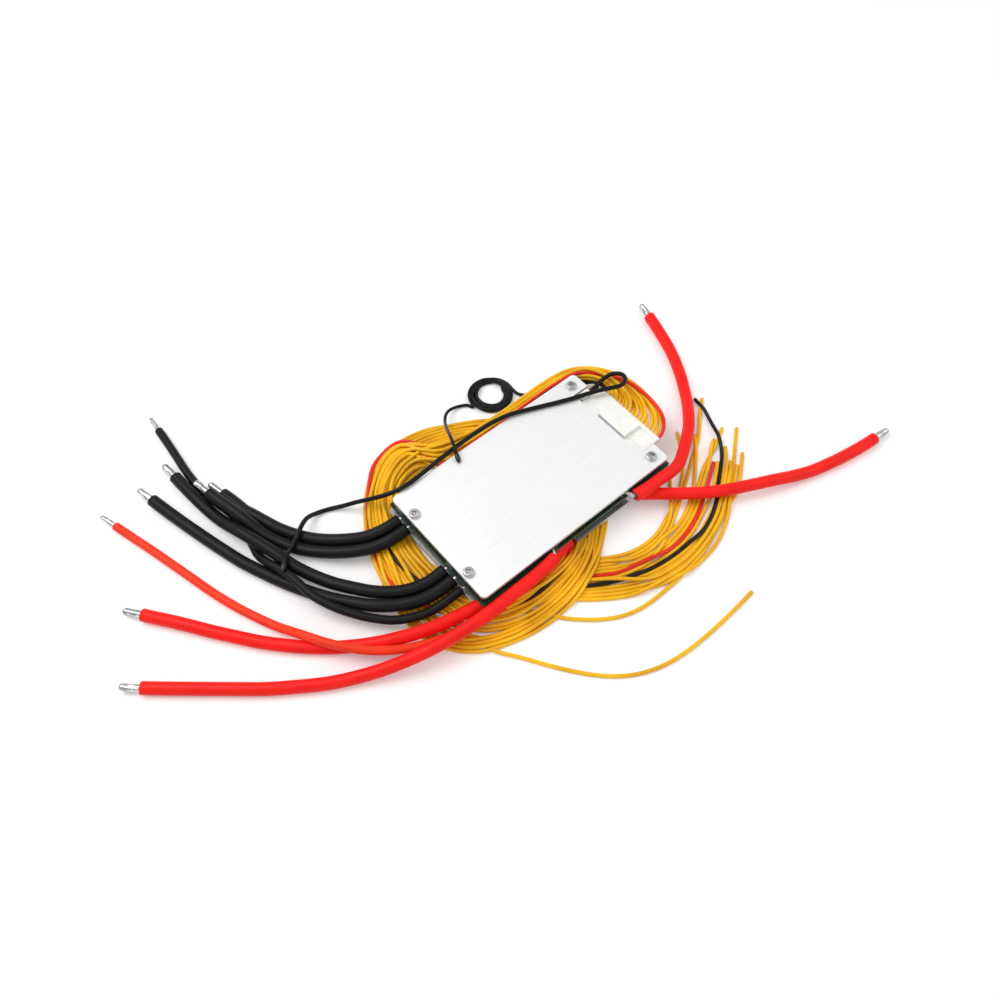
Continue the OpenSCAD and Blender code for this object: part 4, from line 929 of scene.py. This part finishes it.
def rough_run(rank, way, shade, fan):
    """A wire's first route: connector, bundle, the coil's upper pass, its lower pass, fan."""
    rng = random.Random(100 + way)
    wave = [rng.uniform(0, 6.28) for _ in range(3)]
    y = PLUG[1] + ((WAYS - 1) / 2 - way) * PITCH
    points = [(PLUG[0] + step, y, PLUG[2]) for step in (-IN_PLUG, 0, STRAIGHT_OUT)]
    column, row = divmod(way, 4)
    place = (column + 0.5) / 4.5
    level = row / 3
    for s in range(2, len(BUNDLE_MID) - 1):
        grow = min(1, (s - 2) / SPREAD)
        share = (way + 0.5) / WAYS * (1 - grow) + place * grow
        high = 0.5 * (1 - grow) + level * grow
        if shade == "red":
            share, high = 1 - 0.85 * grow, 0.5 + 0.5 * grow
        share += 0.05 * math.sin(wave[0] + 0.7 * s)
        flat = between((BUNDLE_INNER[s], BUNDLE_OUTER[s]), share)
        points.append((*flat, BUNDLE_MID[s] + (high - 0.5) * BUNDLE_DEEP[s] * 0.8))
    upper = (way * 7 % WAYS + 0.5) / WAYS
    lower = (rank + 0.5) / WAYS
    count = len(COIL)
    for turn in (0, 1):
        for s, pair in enumerate(COIL):
            if turn == 0 and s < 1:
                continue
            if turn == 1 and s > LEAVE_COIL:
                break
            share = upper
            if turn == 0 and shade == "red":
                share = 0.95 - 0.75 * min(1, max(0, (s - 8) / 4))
            if turn == 0 and shade == "black":
                share = 0.6 - 0.32 * min(1, max(0, (s - 7) / 4))
            share += 0.06 * math.sin(wave[1] + 0.45 * s) if shade == "yellow" else 0
            high = UPPER_PASS + UPPER_STEP * (way % 2)
            sink = min(1, max(0, (s - 17) / 5)) if turn == 0 else 1
            high = high * (1 - sink) + LOWER_STEP * (rank % 2) * sink
            if turn == 1 or s > 20:
                go = 1 if turn == 1 else (s - 20) / (count - 20)
                share = share * (1 - go) + (lower + 0.03 * math.sin(wave[2] + s)) * go
            share = min(0.985, max(0.015, share))
            flat = between(pair, share)
            points.append((*flat, FLOOR_Z + REST + high))
    for i, flat in enumerate(fan):
        points.append((*flat, FLOOR_Z + REST + FAN_STEP * (rank % 3) * (i > 0)))
    return points


def nearest_on(points, starts, ends):
    """The nearest place on each piece of line, and how far along it that is."""
    along = ends - starts
    t = ((points - starts) * along).sum(-1) / np.maximum((along * along).sum(-1), 1e-18)
    t = np.clip(t, 0, 1)
    return starts + along * t[..., None], t


def settle(runs, held, radius, fixed, rounds):
    """Lets the wires settle on the floor and each other, clear of the leads and the board.

    Each round smooths every wire, pulls it gently to its own route and down, and pushes
    points apart that are nearer to another wire than its diameter. The smoothing takes
    ripples out first, since straightening alone would draw the coil's arcs inwards.
    """
    straighten, even_out, sag = 0.06, 0.18, 0.00003
    wire = np.concatenate([np.full(len(run), i) for i, run in enumerate(runs)])
    order = np.concatenate([np.arange(len(run)) for run in runs])
    here = np.vstack(runs)
    home = here.copy()
    count = len(here)
    inner = np.ones(count, bool)
    joined = np.zeros(count, bool)
    first = 0
    for run in runs:
        last = first + len(run)
        inner[[first, last - 1]] = False
        joined[first : last - 1] = True
        first = last
    inside = np.nonzero(inner)[0]
    segment = np.nonzero(joined)[0]
    free = ~(order < fixed)
    lead_a = np.vstack([line[:-1] for line, _ in held])
    lead_b = np.vstack([line[1:] for line, _ in held])
    lead_r = np.concatenate([np.full(len(line) - 1, r) for line, r in held]) + radius
    low, high = np.array(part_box("base_plate"))
    side_low, side_high = low[:2] - radius, high[:2] + radius
    under = low[2] - radius
    near = None
    for turn in range(rounds):
        if turn % 8 == 0:
            middle = (here[segment] + here[segment + 1]) / 2
            found = []
            for start in range(0, count, 500):
                part = here[start : start + 500]
                gap = ((part[:, None] - middle[None]) ** 2).sum(-1)
                a, b = np.nonzero(gap < (radius * 2 + 0.0035) ** 2)
                found.append((a + start, b))
            a = np.concatenate([f[0] for f in found])
            b = np.concatenate([f[1] for f in found])
            own = (wire[a] == wire[segment[b]]) & (np.abs(order[a] - order[segment[b]]) < 5)
            a, b = a[~own], segment[b[~own]]
            near = (a, b)
            lead_near = []
            centre = (lead_a + lead_b) / 2
            gap = np.linalg.norm(here[:, None] - centre[None], axis=-1)
            lead_near = np.nonzero(gap < lead_r[None] + 0.006)
        move = np.zeros_like(here)
        bend = np.zeros_like(here)
        bend[inside] = (here[inside - 1] + here[inside + 1]) / 2 - here[inside]
        ripple = bend[inside] - (bend[inside - 1] + bend[inside + 1]) / 2
        move[inside] += straighten * bend[inside] + even_out * ripple
        pull = 0.03 if turn < rounds * 0.8 else 0.01
        move[:, :2] += pull * (home - here)[:, :2]
        move[:, 2] -= sag
        here = here + move * free[:, None]
        a, b = near
        spot, t = nearest_on(here[a], here[b], here[b + 1])
        apart = here[a] - spot
        gap = np.linalg.norm(apart, axis=1)
        tight = np.maximum(0, radius * 2 - gap) * 0.5
        push = apart / np.maximum(gap, 1e-9)[:, None] * tight[:, None] * 0.7
        shift = np.zeros_like(here)
        weight = np.zeros(count)
        for where, part in ((a, push), (b, -push * (1 - t)[:, None]), (b + 1, -push * t[:, None])):
            np.add.at(shift, where, part)
            np.add.at(weight, where, (np.abs(part).sum(1) > 0) * 0.5)
        here = here + shift / np.maximum(1, weight)[:, None] * free[:, None]
        a, b = lead_near
        spot, t = nearest_on(here[a], lead_a[b], lead_b[b])
        apart = here[a] - spot
        gap = np.linalg.norm(apart, axis=1)
        push = apart / np.maximum(gap, 1e-9)[:, None] * np.maximum(0, lead_r[b] - gap)[:, None]
        shift = np.zeros_like(here)
        np.add.at(shift, a, push * 0.5)
        here = here + shift * free[:, None]
        over = (
            (here[:, 0] > side_low[0]) & (here[:, 0] < side_high[0])
            & (here[:, 1] > side_low[1]) & (here[:, 1] < side_high[1]) & (here[:, 2] > under) & free
        )
        sink = over & (here[:, 2] < under + 0.003)
        here[sink, 2] = under
        for k in np.nonzero(over & ~sink)[0]:
            steps = (
                here[k, 0] - side_low[0], side_high[0] - here[k, 0],
                here[k, 1] - side_low[1], side_high[1] - here[k, 1],
            )
            way = int(np.argmin(steps))
            here[k, way // 2] += -steps[way] if way % 2 == 0 else steps[way]
        here[:, 2] = np.maximum(here[:, 2], FLOOR_Z + radius)
    settled, first = [], 0
    for run in runs:
        settled.append(here[first : first + len(run)])
        first += len(run)
    return settled


class BOARD_OT_balance_harness(bpy.types.Operator):
    """Adds the seventeen balance wires, settled round and under the board"""

    bl_idname = "board.balance_harness"
    bl_label = "Balance harness"

    def execute(self, context):
        harness = context.scene.board_harness
        leads = context.scene.board_leads
        sensors = context.scene.board_sensors
        radius = harness.wire / 2
        held = [
            (curve_through(ROUTES[name], 0.005), (leads.thick if thick else leads.thin) / 2)
            for name, _, thick in LEADS
        ]
        for name, across in (
            ("sensor_a", sensors.first), ("sensor_b", sensors.second),
            ("sensor_b_tail", sensors.second),
        ):
            held.append((curve_through(ROUTES[name], 0.005), across / 2))
        runs = [
            curve_through(rough_run(rank, way, shade, fan), harness.spacing)
            for rank, (way, shade, fan) in enumerate(FAN)
        ]
        fixed = 2
        runs = settle(runs, held, radius, fixed, harness.rounds)
        tin = kept("solder", tinned, context.scene.board_board.tin)
        for run, (way, shade, _) in zip(runs, FAN):
            line = curve_through(run, 0.0018)
            line[:, 2] = np.maximum(line[:, 2], FLOOR_Z + radius)
            insulation = kept("vinyl_" + shade, vinyl, getattr(harness, shade))
            name = f"wire_{way + 1:02d}_{shade}"
            piece = cable(name, line, radius, harness.core / 2, 12, [insulation, tin])
            own = shade + ("_wires" if shade == "yellow" else "_wire")
            if way == LOOSE_WAY:
                own = "loose_wire"
            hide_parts("wire_bundle", "wire_coil", own)
            "yellow" if shade == "yellow" else shade + "_wire"
        return {"FINISHED"}


# ---- Plates, board and fasteners ----


def dress(node, material, slot, edge=0, segments=2):
    """Gives a CAD node its finish, and breaks its sharp edges."""
    piece = NODES[node]
    if not piece.material_slots:
        piece.data.materials.append(material)
    for holder in piece.material_slots:
        holder.material = material
    if edge:
        weld = piece.modifiers.new("Weld", "WELD")
        weld.merge_threshold = 0.00001
        bevel = piece.modifiers.new("Bevel", "BEVEL")
        bevel.width = edge
        bevel.segments = segments
        bevel.limit_method = "ANGLE"
        bevel.angle_limit = math.radians(40)
        bevel.harden_normals = True
    return piece


class BOARD_OT_plates(bpy.types.Operator):
    """Finishes the cover plate, the base plate, the screws and the spacers"""

    bl_idname = "board.plates"
    bl_label = "Plates and screws"

    def execute(self, context):
        board = context.scene.board_board
        # The last number paints light on the plates' sides: 0.6 is painted shade on the cover's
        # sides, 1.2 a painted highlight on the base plate's sides.
        cover = kept("cover_face", brushed, board.cover, 0.35, 0.4, 0.6)
        plate = kept("plate_face", brushed, board.plate, 0.9, 0.34, 1.2)
        steel = kept("zinc_steel", turned_steel, board.steel)
        dress("cover_plate", cover, "cover", board.edge)
        dress("base_plate", plate, "plate", board.edge)
        dress("cover_screws", steel, "screws", 0.00008)
        dress("upper_spacers", steel, "spacers")
        dress("lower_spacers", steel, "spacers")
        return {"FINISHED"}


class BOARD_OT_circuit(bpy.types.Operator):
    """Finishes the circuit board and everything soldered to it"""

    bl_idname = "board.circuit"
    bl_label = "Circuit board"

    def execute(self, context):
        board = context.scene.board_board
        green = kept("solder_mask", laminate, board.mask, board.laminate, board.tin)
        black = kept("epoxy", moulded, board.moulding)
        tin = kept("solder", tinned, board.tin)
        dress("circuit_board", green, "board")
        for node in ("power_transistors", "balance_transistors", "monitor_chip", "driver_chips"):
            dress(node, black, "moulded")
        for node in ("transistor_metal", "shunt_resistors", "bus_bars", "header_pins"):
            dress(node, tin, "tinned")
        dress("crimp_terminals", tin, "tinned")
        dress("lead_joints", tin, "tinned", 0.0004, 3)
        dress("thermal_pad", kept("pad", moulded, (0.25, 0.27, 0.32), 0.7), "pad")
        dress("balance_resistors", kept("resistor", moulded, (0.02, 0.02, 0.024), 0.35), "ceramic")
        dress("capacitors", kept("capacitor", moulded, (0.32, 0.22, 0.13), 0.45), "ceramic")
        return {"FINISHED"}


class BOARD_OT_connectors(bpy.types.Operator):
    """Finishes the balance header, its plug and the sensor socket"""

    bl_idname = "board.connectors"
    bl_label = "Connectors"

    def execute(self, context):
        white = kept("nylon", nylon, context.scene.board_board.nylon)
        for node in ("balance_header", "balance_plug", "sensor_socket"):
            dress(node, white, "connector", 0.0001)
        return {"FINISHED"}


# ---- Stage ----


class BOARD_OT_stage(bpy.types.Operator):
    """Adds the pale floor, the even light and the lamps"""

    bl_idname = "board.stage"
    bl_label = "Stage"

    def execute(self, context):
        stage = context.scene.board_stage
        pale = Finish("floor", Roughness=0.9, Emission_Strength=1.0)
        pale.set("Base Color", tuple(stage.floor))
        rays = pale.node("ShaderNodeLightPath", output=0)
        shiny = pale.node("ShaderNodeLightPath", output=3)
        clear = pale.node("ShaderNodeLightPath", output=6)
        seen = rays.maths("MAXIMUM", rays, shiny)
        seen = seen.maths("MAXIMUM", seen, clear)
        glow = (stage.glow,) * 3
        pale.set("Emission Color", pale.mix(seen, (0, 0, 0), glow))
        mesh = bpy.data.meshes.new("floor")
        wide = 3.0
        corners = [
            (x * wide, y * wide, FLOOR_Z) for x, y in ((-1, -1), (1, -1), (1, 1), (-1, 1))
        ]
        mesh.from_pydata(corners, [], [(0, 1, 2, 3)])
        mesh.materials.append(pale.material)
        floor = bpy.data.objects.new("floor", mesh)
        context.scene.collection.objects.link(floor)

        world = bpy.data.worlds.new("World")
        world.use_nodes = True
        context.scene.world = world
        tree = world.node_tree
        even_light = tree.nodes["Background"]
        even_light.inputs["Color"].default_value = (1, 1, 1, 1)
        even_light.inputs["Strength"].default_value = stage.ambient
        white = tree.nodes.new("ShaderNodeBackground")
        white.inputs["Color"].default_value = (1, 1, 1, 1)
        path = tree.nodes.new("ShaderNodeLightPath")
        either = tree.nodes.new("ShaderNodeMath")
        either.operation = "MAXIMUM"
        mix = tree.nodes.new("ShaderNodeMixShader")
        tree.links.new(path.outputs["Is Camera Ray"], either.inputs[0])
        tree.links.new(path.outputs["Is Transmission Ray"], either.inputs[1])
        tree.links.new(either.outputs[0], mix.inputs[0])
        tree.links.new(even_light.outputs[0], mix.inputs[1])
        tree.links.new(white.outputs[0], mix.inputs[2])
        tree.links.new(mix.outputs[0], tree.nodes["World Output"].inputs["Surface"])

        lamps = (
            ("Key", (-0.35, 0.45, 0.9), 0.7, stage.key),
            ("Fill", (0.7, -0.5, 0.8), 0.9, stage.key * 0.45),
        )
        for name, place, size, power in lamps:
            data = bpy.data.lights.new(name, "AREA")
            data.shape = "SQUARE"
            data.size = size
            data.energy = power
            lamp = bpy.data.objects.new(name, data)
            aim = Vector((0, 0, 0)) - Vector(place)
            turn = aim.to_track_quat("-Z", "Y").to_matrix().to_4x4()
            lamp.matrix_world = Matrix.Translation(place) @ turn
            context.scene.collection.objects.link(lamp)
        context.scene.view_settings.view_transform = "Standard"
        return {"FINISHED"}


# ---- Panel and registration ----

OPERATORS = (
    BOARD_OT_camera, BOARD_OT_power_leads, BOARD_OT_sensor_cables, BOARD_OT_balance_harness,
    BOARD_OT_plates, BOARD_OT_circuit, BOARD_OT_connectors, BOARD_OT_stage,
)
SETTINGS = {
    "board_leads": LeadSettings, "board_harness": HarnessSettings,
    "board_sensors": SensorSettings, "board_board": BoardSettings, "board_stage": StageSettings,
}


class BOARD_PT_panel(bpy.types.Panel):
    """Lists the settings and the steps that dress the board"""

    bl_idname = "BOARD_PT_panel"
    bl_label = "Battery management board"
    bl_space_type = "VIEW_3D"
    bl_region_type = "UI"
    bl_category = "Board"

    def draw(self, context):
        for name, group in SETTINGS.items():
            box = self.layout.box()
            box.label(text=group.__doc__)
            for setting in group.__annotations__:
                box.prop(getattr(context.scene, name), setting)
        for operator in OPERATORS:
            self.layout.operator(operator.bl_idname)


def register():
    """Registers the settings, the operators and the panel."""
    for kind in (*SETTINGS.values(), *OPERATORS, BOARD_PT_panel):
        bpy.utils.register_class(kind)
    for name, group in SETTINGS.items():
        setattr(bpy.types.Scene, name, PointerProperty(type=group))


def unregister():
    """Takes them out again."""
    for name in SETTINGS:
        delattr(bpy.types.Scene, name)
    for kind in (BOARD_PT_panel, *OPERATORS[::-1], *SETTINGS.values()):
        bpy.utils.unregister_class(kind)


def main():
    """Registers the classes and runs every step."""
    register()
    bpy.ops.board.camera()
    bpy.ops.board.power_leads()
    bpy.ops.board.sensor_cables()
    bpy.ops.board.balance_harness()
    bpy.ops.board.plates()
    bpy.ops.board.circuit()
    bpy.ops.board.connectors()
    bpy.ops.board.stage()


if __name__ == "__main__":
    main()
